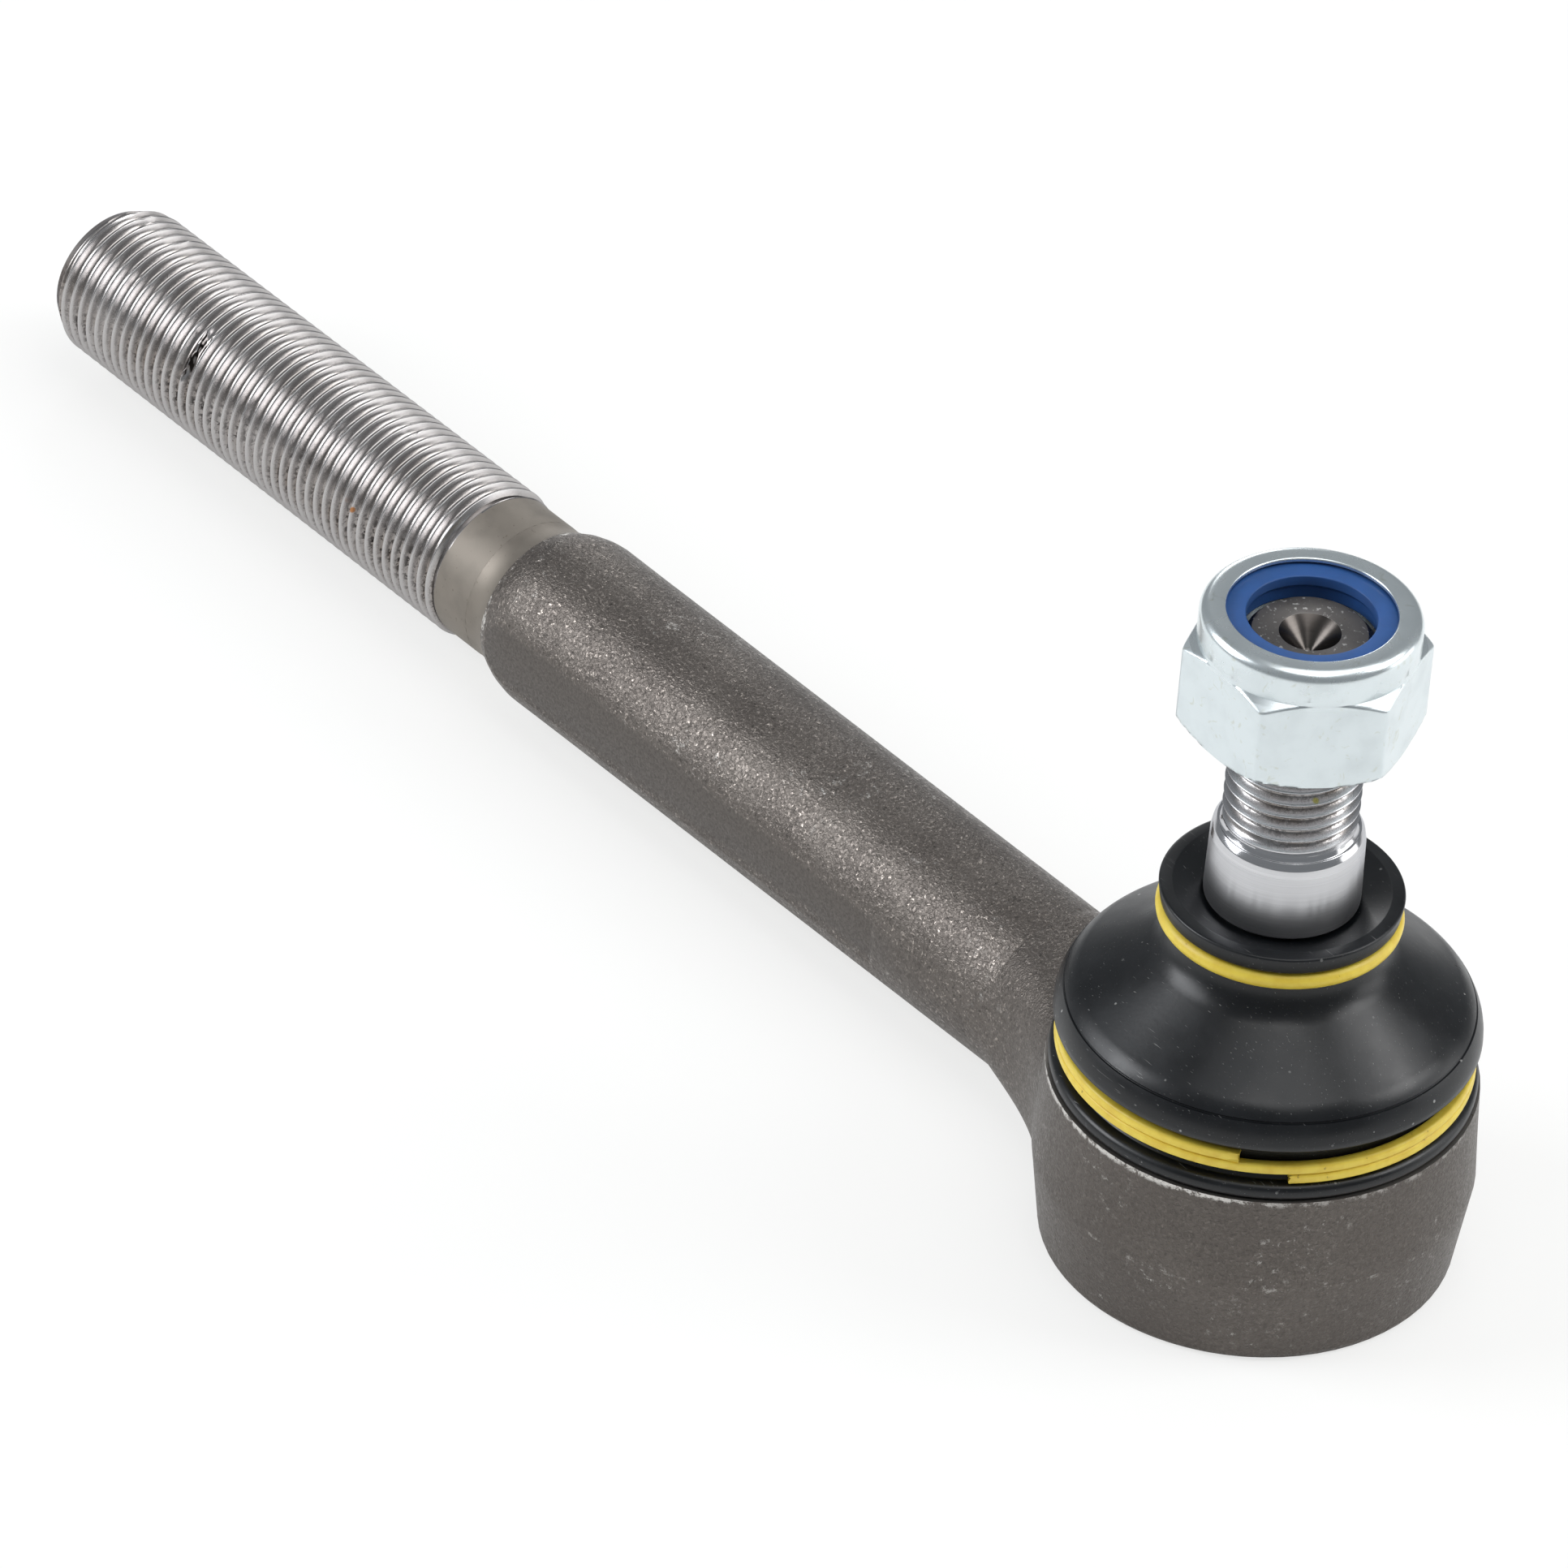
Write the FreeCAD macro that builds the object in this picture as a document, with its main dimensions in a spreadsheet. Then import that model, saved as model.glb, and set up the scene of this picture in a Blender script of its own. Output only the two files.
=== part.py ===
import FreeCAD, Part
import math
import os
import Sketcher

# Threaded ball-joint tie rod: a forged rod with a socket head, a ball stud under a rubber boot,
# and a nylon-insert lock nut started on the stud.
# Millimetres. The stud stands on +Z with the underside of the head at z = 0; the rod runs along -X.

SIZES = {
    # Forged rod and its rolled M18 x 1.5 thread
    "rod_length": 192.0,
    "rod_axis_height": 10.4,
    "thread_diameter": 17.85,
    "thread_length": 68.0,
    "thread_end_chamfer": 1.9,
    "thread_pitch": 1.5,
    "thread_angle": 60.0,
    "thread_depth": 0.85,
    "thread_root_width": 0.2,
    "neck_diameter": 16.9,
    "neck_length": 5.4,
    "shoulder_turned_length": 3.1,
    "shoulder_edge_diameter": 17.7,
    "shoulder_forged_length": 4.8,
    "shoulder_radius": 6.5,
    "shank_diameter": 20.2,
    "shank_head_diameter": 19.7,
    "flash_width": 18.7,
    "flash_run_out": 50.0,
    "flash_run_out_radius": 30.0,
    # Swelling where the shank grows into the head
    "swell_radius": 12.0,
    "swell_sink": 0.3,
    "swell_head_height": 20.6,
    # Socket head
    "head_height": 21.2,
    "head_top_diameter": 44.6,
    "head_parting_diameter": 45.8,
    "head_foot_diameter": 43.2,
    "head_foot_radius": 1.0,
    "spigot_diameter": 37.2,
    "spigot_height": 5.4,
    "spigot_groove_depth": 0.7,
    "spigot_groove_width": 2.0,
    "spigot_rim": 1.2,
    # Ball, seat and closing plate
    "ball_diameter": 23.0,
    "ball_play": 0.03,
    "tilt_limit": 25.0,
    "tilt_clearance": 0.35,
    "seat_floor": 0.8,
    "seat_wall": 3.7,
    "seat_lip_rise": 5.2,
    "seat_shoulder_rise": 4.6,
    "socket_play": 0.05,
    "plate_thickness": 2.0,
    "plate_ledge": 1.3,
    "plate_disc_diameter": 17.0,
    "staking_thickness": 0.7,
    # Stud
    "stud_neck_diameter": 13.8,
    "stud_neck_top": 43.3,
    "cone_root_radius": 4.0,
    "cone_large_diameter": 15.8,
    "cone_bottom": 45.9,
    "cone_small_diameter": 15.5,
    "cone_top": 50.8,
    "relief_diameter": 12.7,
    "relief_bottom": 51.6,
    "stud_thread_diameter": 13.95,
    "stud_thread_bottom": 53.2,
    "stud_height": 76.4,
    "stud_tip_chamfer": 1.1,
    "centre_drill_diameter": 5.6,
    "centre_drill_angle": 60.0,
    # Rubber boot
    "boot_wall": 1.7,
    "boot_lip_diameter": 44.2,
    "boot_lip_thickness": 1.75,
    "lower_groove_diameter": 40.8,
    "lower_groove_height": 3.7,
    "bulge_diameter": 44.0,
    "bulge_height": 28.0,
    "bulge_radius": 7.3,
    "bulge_undercut": 0.8,
    "boot_cone_angle": 39.0,
    "seal_bottom": 41.0,
    "boot_waist_diameter": 21.7,
    "boot_waist_bottom": 40.4,
    "boot_waist_top": 42.6,
    "flange_diameter": 25.2,
    "flange_top": 44.6,
    "flange_rim": 1.45,
    "flange_recess": 1.4,
    "rubber_play": 0.05,
    # Retaining rings
    "upper_wire_diameter": 1.8,
    "lower_wire_height": 1.13,
    "lower_wire_thickness": 1.2,
    "lower_ring_turns": 1.96,
    "lower_ring_pitch": 1.17,
    "lower_ring_bottom": 23.1,
    "lower_ring_start_angle": -34.9,
    # Lock nut and its nylon insert
    "nut_across_flats": 22.0,
    "nut_engagement": 11.9,
    "nut_height": 14.7,
    "nut_collar_height": 3.9,
    "nut_collar_radius": 2.3,
    "nut_collar_opening": 17.3,
    "nut_foot_diameter": 20.0,
    "nut_chamfer_angle": 30.0,
    "nut_turned_angle": -3.7,
    "nut_thread_play": 0.05,
    "insert_diameter": 18.4,
    "insert_height": 3.2,
    "insert_lip": 0.45,
    "insert_bore": 12.9,
    "insert_lead": 1.35,
    "insert_play": 0.05,
}

doc = FreeCAD.newDocument("tie_rod")
sheet = doc.addObject("Spreadsheet::Sheet", "Sizes")
for row, (alias, value) in enumerate(SIZES.items(), start=1):
    sheet.set("A%d" % row, alias.replace("_", " "))
    sheet.set("B%d" % row, str(value))
    sheet.setAlias("B%d" % row, alias)
doc.recompute()


class Length:
    """A length that knows both its number and the spreadsheet expression behind it."""

    def __init__(self, value, formula):
        self.value = float(value)
        self.formula = formula

    def _join(self, sign, other, value):
        other_formula = other.formula if isinstance(other, Length) else repr(other)
        return Length(value, "(%s %s %s)" % (self.formula, sign, other_formula))

    def __add__(self, other):
        return self._join("+", other, self.value + number(other))

    def __sub__(self, other):
        return self._join("-", other, self.value - number(other))

    def __mul__(self, other):
        return self._join("*", other, self.value * number(other))

    def __truediv__(self, other):
        return self._join("/", other, self.value / number(other))

    def __neg__(self):
        return Length(-self.value, "(-%s)" % self.formula)


def number(length):
    return length.value if isinstance(length, Length) else float(length)


def root(length):
    return Length(math.sqrt(length.value), "sqrt(%s)" % length.formula)


def tangent(angle):
    return Length(math.tan(math.radians(angle.value)), "tan(%s * 1 deg)" % angle.formula)


def sine(angle):
    return Length(math.sin(math.radians(angle.value)), "sin(%s * 1 deg)" % angle.formula)


def cosine(angle):
    return Length(math.cos(math.radians(angle.value)), "cos(%s * 1 deg)" % angle.formula)


def size(alias):
    return Length(SIZES[alias], "Sizes." + alias)


def radius(alias):
    return size(alias) / 2


def ball_centre():
    """The ball stands on the floor of its seat, which stands on the closing plate."""
    return (size("staking_thickness") + size("plate_thickness") + size("seat_floor")
            + radius("ball_diameter"))


def nut_bottom():
    """The nut has only been started, so its place follows the tip of the stud."""
    return size("stud_height") - size("nut_engagement")


def swell_head():
    """The swell runs into the head a little below its skin."""
    return radius("head_parting_diameter") - size("swell_sink")


def swell_start():
    """Where a fillet that touches both the shank and the head leaves the shank."""
    to_head = swell_head() + size("swell_radius")
    to_shank = radius("shank_head_diameter") + size("swell_radius")
    return root(to_head * to_head - to_shank * to_shank)


def chord(sphere_radius, offset):
    """Radius of the circle that a sphere shows at a distance from its centre."""
    return root(sphere_radius * sphere_radius - offset * offset)


def plane(body, role):
    return next(f for f in body.Origin.OriginFeatures if f.Role == role)


def new_sketch(body, name, role, offset=None):
    sketch = body.newObject("Sketcher::SketchObject", name)
    sketch.AttachmentSupport = [(plane(body, role), "")]
    sketch.MapMode = "FlatFace"
    if offset is not None:
        sketch.AttachmentOffset = FreeCAD.Placement(
            FreeCAD.Vector(0, 0, offset.value), FreeCAD.Rotation())
        sketch.setExpression("AttachmentOffset.Base.z", offset.formula)
    return sketch


def arc_between(start, end, bend):
    """An arc from start to end: a positive bend turns left, a negative one turns right."""
    middle = (start + end) * 0.5
    along = end - start
    left = FreeCAD.Vector(-along.y, along.x, 0).normalize()
    reach = math.sqrt(max(bend * bend - (along.Length / 2) ** 2, 0.0))
    centre = middle + left * reach * (1 if bend > 0 else -1)
    first = math.atan2(start.y - centre.y, start.x - centre.x)
    last = math.atan2(end.y - centre.y, end.x - centre.x)
    circle = Part.Circle(centre, FreeCAD.Vector(0, 0, 1), abs(bend))
    if bend > 0:
        return Part.ArcOfCircle(circle, first, last), 1, 2
    return Part.ArcOfCircle(circle, last, first), 2, 1


def pin_point(sketch, geometry, end, across, up):
    """Holds one point of a sketch at its place from the origin."""
    for kind, axis, place in (("DistanceX", -2, across), ("DistanceY", -1, up)):
        if not isinstance(place, Length):
            sketch.addConstraint(Sketcher.Constraint("PointOnObject", geometry, end, axis))
            continue
        index = sketch.addConstraint(
            Sketcher.Constraint(kind, -1, 1, geometry, end, place.value))
        sketch.setExpression("Constraints[%d]" % index, place.formula)


def closed_outline(sketch, corners):
    """Draws a closed outline. A corner is (across, up) or (across, up, bend), where bend is the
    signed radius of the arc that leads to the next corner. 0 means on the axis."""
    points = [FreeCAD.Vector(number(c[0]), number(c[1]), 0) for c in corners]
    edges = []
    for i, corner in enumerate(corners):
        start, end = points[i], points[(i + 1) % len(points)]
        if len(corner) == 3:
            arc, first, last = arc_between(start, end, number(corner[2]))
            edges.append((sketch.addGeometry(arc, False), first, last))
        else:
            edges.append((sketch.addGeometry(Part.LineSegment(start, end), False), 1, 2))
    for i, (edge, first, last) in enumerate(edges):
        following, start, _ = edges[(i + 1) % len(edges)]
        sketch.addConstraint(Sketcher.Constraint("Coincident", edge, last, following, start))
        pin_point(sketch, edge, first, corners[i][0], corners[i][1])
        if len(corners[i]) == 3:
            bend = corners[i][2]
            index = sketch.addConstraint(Sketcher.Constraint("Radius", edge, abs(bend.value)))
            formula = bend.formula if bend.value > 0 else (-bend).formula
            sketch.setExpression("Constraints[%d]" % index, formula)


def turned(body, name, corners, kind="PartDesign::Revolution"):
    """Turns an outline of (radius, height) corners about Z, to add or to cut."""
    sketch = new_sketch(body, name + "_outline", "XZ_Plane")
    closed_outline(sketch, corners)
    feature = body.newObject(kind, name)
    feature.Profile = sketch
    feature.ReferenceAxis = (sketch, ["V_Axis"])
    feature.Angle = 360.0
    sketch.Visibility = False
    doc.recompute()
    return feature


def turned_about_z(alias):
    return FreeCAD.Placement(
        FreeCAD.Vector(), FreeCAD.Rotation(FreeCAD.Vector(0, 0, 1), SIZES[alias]))


def new_body(name):
    body = doc.addObject("PartDesign::Body", name)
    body.Label = name
    return body


def make_shank():
    """Shank, shoulder, neck and threaded end, turned about the rod's own axis."""
    body = new_body("shank_blank")
    sketch = new_sketch(body, "shank_outline", "XZ_Plane")
    height = size("rod_axis_height")
    end = size("rod_length")
    thread_start = end - size("thread_length")
    neck_start = thread_start - size("neck_length")
    edge = neck_start - size("shoulder_turned_length")
    full = edge - size("shoulder_forged_length")
    chamfer = size("thread_end_chamfer")
    inner_end = swell_start()

    def corner(along, out, *bend):
        return (-along, height + out) + bend

    corners = [
        (-inner_end, height),
        corner(inner_end, radius("shank_head_diameter")),
        corner(full, radius("shank_diameter"), size("shoulder_radius") * 1.8),
        corner(edge, radius("shoulder_edge_diameter"), -size("shoulder_radius")),
        corner(neck_start, radius("neck_diameter")),
        corner(thread_start, radius("neck_diameter")),
        corner(thread_start, radius("thread_diameter")),
        corner(end - chamfer, radius("thread_diameter")),
        corner(end, radius("thread_diameter") - chamfer * 0.7),
        (-end, height),
    ]
    closed_outline(sketch, corners)
    axis = sketch.addGeometry(
        Part.LineSegment(FreeCAD.Vector(-end.value, height.value, 0),
                         FreeCAD.Vector(-inner_end.value, height.value, 0)), True)
    pin_point(sketch, axis, 1, -end, height)
    pin_point(sketch, axis, 2, -inner_end, height)
    turn = body.newObject("PartDesign::Revolution", "shank_turn")
    turn.Profile = sketch
    turn.ReferenceAxis = (sketch, ["Axis0"])
    turn.Angle = 360.0
    doc.recompute()

    # The flash is trimmed flat along both sides of the shank and runs out before the head.
    plan = new_sketch(body, "flash_plan", "XY_Plane")
    half = radius("flash_width")
    outside = radius("shank_diameter") + 2.0
    run_out = size("flash_run_out")
    bend = size("flash_run_out_radius")
    rise = outside - half
    fade = root(bend * bend - (bend - rise) * (bend - rise))
    closed_outline(plan, [
        (-edge, half),
        (-edge, outside),
        (-(run_out - fade), outside, bend),
        (-run_out, half),
    ])
    trim = body.newObject("PartDesign::Pocket", "flash_trim")
    trim.Profile = plan
    trim.Type = 1
    trim.Midplane = True
    doc.recompute()
    mirror = body.newObject("PartDesign::Mirrored", "flash_trim_both_sides")
    mirror.Originals = [trim]
    mirror.MirrorPlane = (plane(body, "XZ_Plane"), [""])
    body.Tip = mirror
    doc.recompute()
    cut_rod_thread(body)
    return body


def cut_rod_thread(body):
    """The profile of the rod's thread, one V groove to each pitch, repeated along the rod."""
    height = size("rod_axis_height")
    pitch = size("thread_pitch")
    start = size("rod_length") - size("thread_length") + pitch / 2
    crest = height + radius("thread_diameter") + size("thread_depth") / 4
    bottom = height + radius("thread_diameter") - size("thread_depth")
    foot = size("thread_root_width") / 2
    mouth = foot + (crest - bottom) * tangent(size("thread_angle") / 2)
    section = new_sketch(body, "thread_groove_outline", "XZ_Plane")
    closed_outline(section, [
        (-(start + mouth), crest),
        (-(start + foot), bottom),
        (-(start - foot), bottom),
        (-(start - mouth), crest),
    ])
    axis = section.addGeometry(
        Part.LineSegment(FreeCAD.Vector(-start.value, height.value, 0),
                         FreeCAD.Vector(-SIZES["rod_length"], height.value, 0)), True)
    pin_point(section, axis, 1, -start, height)
    pin_point(section, axis, 2, -size("rod_length"), height)
    groove = body.newObject("PartDesign::Groove", "thread_groove")
    groove.Profile = section
    groove.ReferenceAxis = (section, ["Axis0"])
    groove.Angle = 360.0
    section.Visibility = False
    doc.recompute()
    grooves = body.newObject("PartDesign::LinearPattern", "thread_grooves")
    grooves.Originals = [groove]
    grooves.Direction = (plane(body, "YZ_Plane"), [""])
    grooves.Reversed = True
    grooves.Mode = "Spacing"
    grooves.setExpression("Offset", "Sizes.thread_pitch")
    grooves.setExpression("Occurrences", "floor(Sizes.thread_length / Sizes.thread_pitch)")
    body.Tip = grooves
    doc.recompute()


def make_swell():
    """Loft of ovals that carries the round shank into the head."""
    shank_radius = radius("shank_head_diameter")
    outer = swell_start()
    side = size("swell_radius")
    inner = outer * swell_head() / (swell_head() + side)
    sections = []
    steps = 5
    for i in range(steps):
        share = i / (steps - 1.0)
        along = outer - (outer - inner) * share
        width = shank_radius + side - root(side * side - (outer - along) * (outer - along))
        rise = shank_radius + (radius("swell_head_height") - shank_radius) * share
        kind = "Part::Ellipse" if i else "Part::Circle"
        oval = doc.addObject(kind, "swell_section_%d" % (i + 1))
        oval.Placement = FreeCAD.Placement(
            FreeCAD.Vector(-along.value, 0, SIZES["rod_axis_height"]),
            FreeCAD.Rotation(FreeCAD.Vector(1, 1, 1), 120))
        if i:
            oval.MajorRadius = width.value
            oval.MinorRadius = rise.value
            oval.setExpression("MajorRadius", width.formula)
            oval.setExpression("MinorRadius", rise.formula)
        else:
            oval.setExpression("Radius", shank_radius.formula)
        oval.setExpression(".Placement.Base.x", (-along).formula)
        oval.setExpression(".Placement.Base.z", "Sizes.rod_axis_height")
        sections.append(oval)
    loft = doc.addObject("Part::Loft", "swell_loft")
    loft.Sections = sections
    loft.Solid = True
    loft.Ruled = False
    doc.recompute()
    return loft


def make_head():
    """Round socket head with its draft, rounded foot and the spigot that carries the boot."""
    body = new_body("head_blank")
    top = size("head_height")
    foot = size("head_foot_radius")
    spigot_top = top + size("spigot_height")
    spigot = radius("spigot_diameter")
    groove_top = spigot_top - size("spigot_rim")
    groove_bottom = groove_top - size("spigot_groove_width")
    turned(body, "head_turn", [
        (0, 0),
        (radius("head_foot_diameter") - foot, 0, foot),
        (radius("head_foot_diameter"), foot),
        (radius("head_parting_diameter"), size("rod_axis_height")),
        (radius("head_top_diameter"), top),
        (spigot, top),
        (spigot, groove_bottom),
        (spigot - size("spigot_groove_depth"), groove_bottom),
        (spigot - size("spigot_groove_depth"), groove_top),
        (spigot, groove_top),
        (spigot, spigot_top),
        (0, spigot_top),
    ])
    return body


def opening_radius(height):
    """Radius that the tilted neck of the stud needs at a height."""
    limit = size("tilt_limit")
    above = height - ball_centre()
    return (tangent(limit) * above + radius("stud_neck_diameter") / cosine(limit)
            + size("tilt_clearance"))


def make_bore():
    """What is bored out of the head: plate seat, socket bore and the flared mouth."""
    body = new_body("socket_bore")
    seat = radius("ball_diameter") + size("seat_wall") + size("socket_play")
    plate = seat + size("plate_ledge")
    staking = size("staking_thickness")
    ledge = staking + size("plate_thickness")
    shoulder = ball_centre() + size("seat_shoulder_rise")
    mouth = size("head_height") + size("spigot_height")
    throat = ball_centre() + size("seat_lip_rise") + size("socket_play") * 4
    below = staking - staking * 2
    turned(body, "bore_turn", [
        (0, below),
        (seat, below),
        (seat, staking),
        (plate, staking),
        (plate, ledge),
        (seat, ledge),
        (seat, shoulder),
        (opening_radius(throat), throat),
        (opening_radius(mouth), mouth),
        (opening_radius(mouth), mouth + staking),
        (0, mouth + staking),
    ])
    return body


def make_rod_housing():
    forging = doc.addObject("Part::MultiFuse", "rod_forging")
    forging.Shapes = [make_shank(), make_swell(), make_head()]
    housing = doc.addObject("Part::Cut", "rod_housing")
    housing.Base = forging
    housing.Tool = make_bore()
    housing.Label = "rod_housing"
    doc.recompute()
    return housing


def make_ball_seat():
    body = new_body("ball_seat")
    centre = ball_centre()
    inner = radius("ball_diameter") + size("ball_play")
    outer = radius("ball_diameter") + size("seat_wall")
    bottom = size("staking_thickness") + size("plate_thickness") + size("ball_play")
    lip = centre + size("seat_lip_rise")
    shoulder = centre + size("seat_shoulder_rise") - size("socket_play")
    drain = radius("centre_drill_diameter")
    turned(body, "seat_turn", [
        (drain, bottom),
        (outer, bottom),
        (outer, shoulder),
        (opening_radius(lip), lip),
        (chord(inner, size("seat_lip_rise")), lip, -inner),
        (inner, centre, -inner),
        (drain, centre - chord(inner, drain)),
    ])
    return body


def make_cover_plate():
    """Pressed plate staked into the foot of the head, its middle disc level with the underside."""
    body = new_body("cover_plate")
    bottom = size("staking_thickness")
    top = bottom + size("plate_thickness")
    edge = radius("ball_diameter") + size("seat_wall") + size("plate_ledge")
    disc = radius("plate_disc_diameter")
    sunk = size("plate_thickness")
    turned(body, "plate_turn", [
        (0, 0),
        (disc, 0),
        (disc + bottom * 2, bottom),
        (edge, bottom),
        (edge, top),
        (disc + bottom * 2, top),
        (disc, sunk),
        (0, sunk),
    ])
    return body


def make_ball_stud():
    body = new_body("ball_stud")
    centre = ball_centre()
    ball = radius("ball_diameter")
    neck = radius("stud_neck_diameter")
    thread = radius("stud_thread_diameter")
    top = size("stud_height")
    chamfer = size("stud_tip_chamfer")
    drill = radius("centre_drill_diameter")
    relief = radius("relief_diameter")
    flat = ball * 0.3
    turned(body, "stud_turn", [
        (0, centre - chord(ball, flat)),
        (flat, centre - chord(ball, flat), ball),
        (ball, centre, ball),
        (neck, centre + chord(ball, neck)),
        (neck, size("stud_neck_top"), -size("cone_root_radius")),
        (radius("cone_large_diameter"), size("cone_bottom")),
        (radius("cone_small_diameter"), size("cone_top")),
        (relief, size("relief_bottom")),
        (relief, size("stud_thread_bottom") - (thread - relief)),
        (thread, size("stud_thread_bottom")),
        (thread, top - chamfer),
        (thread - chamfer, top),
        (drill, top),
        (0, top - drill / tangent(size("centre_drill_angle") / 2)),
    ])
    return body


def make_dust_boot():
    """One moulded rubber boot: foot lip, ring groove, onion-shaped bellows, waist and flange."""
    body = new_body("dust_boot")
    play = size("rubber_play")
    wall = size("boot_wall")
    foot = size("head_height") + play
    lip_top = foot + size("boot_lip_thickness")
    lip = radius("boot_lip_diameter")
    groove = radius("lower_groove_diameter")
    groove_top = lip_top + size("lower_groove_height")
    bulge = radius("bulge_diameter")
    bulge_z = size("bulge_height")
    undercut = size("bulge_undercut")
    bend = size("bulge_radius")
    cone = size("boot_cone_angle")
    crown_z = bulge_z + bend * cosine(cone)
    crown = bulge - bend + bend * sine(cone)
    inner_z = bulge_z + (bend - wall) * cosine(cone)
    inner = bulge - bend + (bend - wall) * sine(cone)
    waist = radius("boot_waist_diameter")
    flange = radius("flange_diameter")
    flange_top = size("flange_top")
    spigot = radius("spigot_diameter") + play
    bead = spigot - size("spigot_groove_depth")
    bead_top = size("head_height") + size("spigot_height") - size("spigot_rim") - play
    bead_bottom = bead_top - size("spigot_groove_width") + play * 2
    seal = radius("stud_neck_diameter") + play
    lead = seal + wall / 2
    turned(body, "boot_turn", [
        (spigot, foot),
        (lip, foot),
        (lip, lip_top),
        (groove, lip_top),
        (groove, groove_top),
        (bulge - undercut, groove_top, undercut * 2),
        (bulge, bulge_z, bend),
        (crown, crown_z),
        (waist, size("boot_waist_bottom")),
        (waist, size("boot_waist_top")),
        (flange, size("boot_waist_top")),
        (flange, flange_top),
        (flange - size("flange_rim"), flange_top),
        (lead, flange_top - size("flange_recess")),
        (seal, flange_top - size("flange_recess")),
        (seal, size("seal_bottom")),
        (lead, inner_z + (inner - lead) * tangent(cone)),
        (inner, inner_z, -(bend - wall)),
        (bulge - wall, bulge_z),
        (spigot + play, groove_top),
        (spigot, bead_top + play * 2),
        (spigot, bead_top),
        (bead, bead_top),
        (bead, bead_bottom),
        (spigot, bead_bottom),
    ])
    return body


def make_upper_clamp_ring():
    ring = doc.addObject("Part::Torus", "upper_clamp_ring")
    wire = radius("upper_wire_diameter")
    middle = radius("boot_waist_diameter") + size("rubber_play") + wire
    height = size("boot_waist_bottom") + (size("boot_waist_top") - size("boot_waist_bottom")) / 2
    ring.setExpression("Radius1", middle.formula)
    ring.setExpression("Radius2", wire.formula)
    ring.setExpression(".Placement.Base.z", height.formula)
    ring.Label = "upper_clamp_ring"
    doc.recompute()
    return ring


def make_lower_clamp_ring():
    """Spring ring of flat wire, wound almost two turns."""
    body = new_body("lower_clamp_ring")
    inner = radius("lower_groove_diameter") + size("rubber_play")
    outer = inner + size("lower_wire_thickness")
    bottom = size("lower_ring_bottom")
    top = bottom + size("lower_wire_height")
    section = new_sketch(body, "wire_section", "XZ_Plane")
    closed_outline(section, [(inner, bottom), (outer, bottom), (outer, top), (inner, top)])
    coil = body.newObject("PartDesign::AdditiveHelix", "wire_coil")
    coil.Profile = section
    coil.ReferenceAxis = (section, ["V_Axis"])
    coil.Mode = 1
    coil.setExpression("Pitch", "Sizes.lower_ring_pitch")
    coil.setExpression("Turns", "Sizes.lower_ring_turns")
    coil.LeftHanded = False
    body.Placement = turned_about_z("lower_ring_start_angle")
    doc.recompute()
    return body


def make_lock_nut():
    """Hexagon nut whose collar is rolled over the nylon insert."""
    body = new_body("lock_nut")
    flats = radius("nut_across_flats")
    bottom = nut_bottom()
    top = bottom + size("nut_height")
    corner = flats / math.cos(math.pi / 6)
    sketch = new_sketch(body, "hexagon", "XY_Plane", bottom)
    corners = []
    for i in range(6):
        angle = math.radians(60 * i)
        across, up = math.cos(angle), math.sin(angle)
        corners.append((corner * across, corner * up if abs(up) > 1e-9 else 0))
    closed_outline(sketch, corners)
    pad = body.newObject("PartDesign::Pad", "hexagon_pad")
    pad.Profile = sketch
    pad.setExpression("Length", "Sizes.nut_height")
    doc.recompute()

    slope = tangent(size("nut_chamfer_angle"))
    foot = radius("nut_foot_diameter")
    collar_bottom = top - size("nut_collar_height")
    opening = radius("nut_collar_opening")
    roll = size("nut_collar_radius")
    outside = corner + 1.0
    turned(body, "foot_chamfer", [
        (foot, bottom),
        (outside, bottom),
        (outside, bottom + (outside - foot) * slope),
    ], "PartDesign::Groove")
    turned(body, "collar_cut", [
        (flats, collar_bottom),
        (flats, top - roll, roll),
        (flats - roll, top),
        (flats - roll, top + 1.0),
        (outside, top + 1.0),
        (outside, collar_bottom - (outside - flats) * slope),
    ], "PartDesign::Groove")
    bore = radius("stud_thread_diameter") + size("nut_thread_play")
    pocket = radius("insert_diameter") + size("insert_play")
    pocket_top = top - size("insert_lip")
    pocket_bottom = pocket_top - size("insert_height") - size("insert_play") * 2
    turned(body, "thread_bore", [
        (0, bottom - 1.0),
        (bore + 0.8, bottom - 1.0),
        (bore + 0.8, bottom),
        (bore, bottom + 0.8),
        (bore, pocket_bottom),
        (pocket, pocket_bottom),
        (pocket, pocket_top),
        (opening, top - size("insert_lip") / 2),
        (opening, top + 1.0),
        (0, top + 1.0),
    ], "PartDesign::Groove")
    body.Placement = turned_about_z("nut_turned_angle")
    doc.recompute()
    return body


def make_nylon_insert():
    body = new_body("nylon_insert")
    outer = radius("insert_diameter")
    top = nut_bottom() + size("nut_height") - size("insert_lip") - size("insert_play")
    bottom = top - size("insert_height")
    bore = radius("insert_bore")
    cut = radius("stud_thread_diameter") + size("nut_thread_play")
    lead = bottom + size("insert_lead")
    turned(body, "insert_turn", [
        (cut, bottom),
        (outer, bottom),
        (outer, top),
        (bore, top),
        (bore, lead + (cut - bore)),
        (cut, lead),
    ])
    return body


parts = [
    make_rod_housing(),
    make_ball_seat(),
    make_cover_plate(),
    make_ball_stud(),
    make_dust_boot(),
    make_upper_clamp_ring(),
    make_lower_clamp_ring(),
    make_lock_nut(),
    make_nylon_insert(),
]
doc.recompute()

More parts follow.
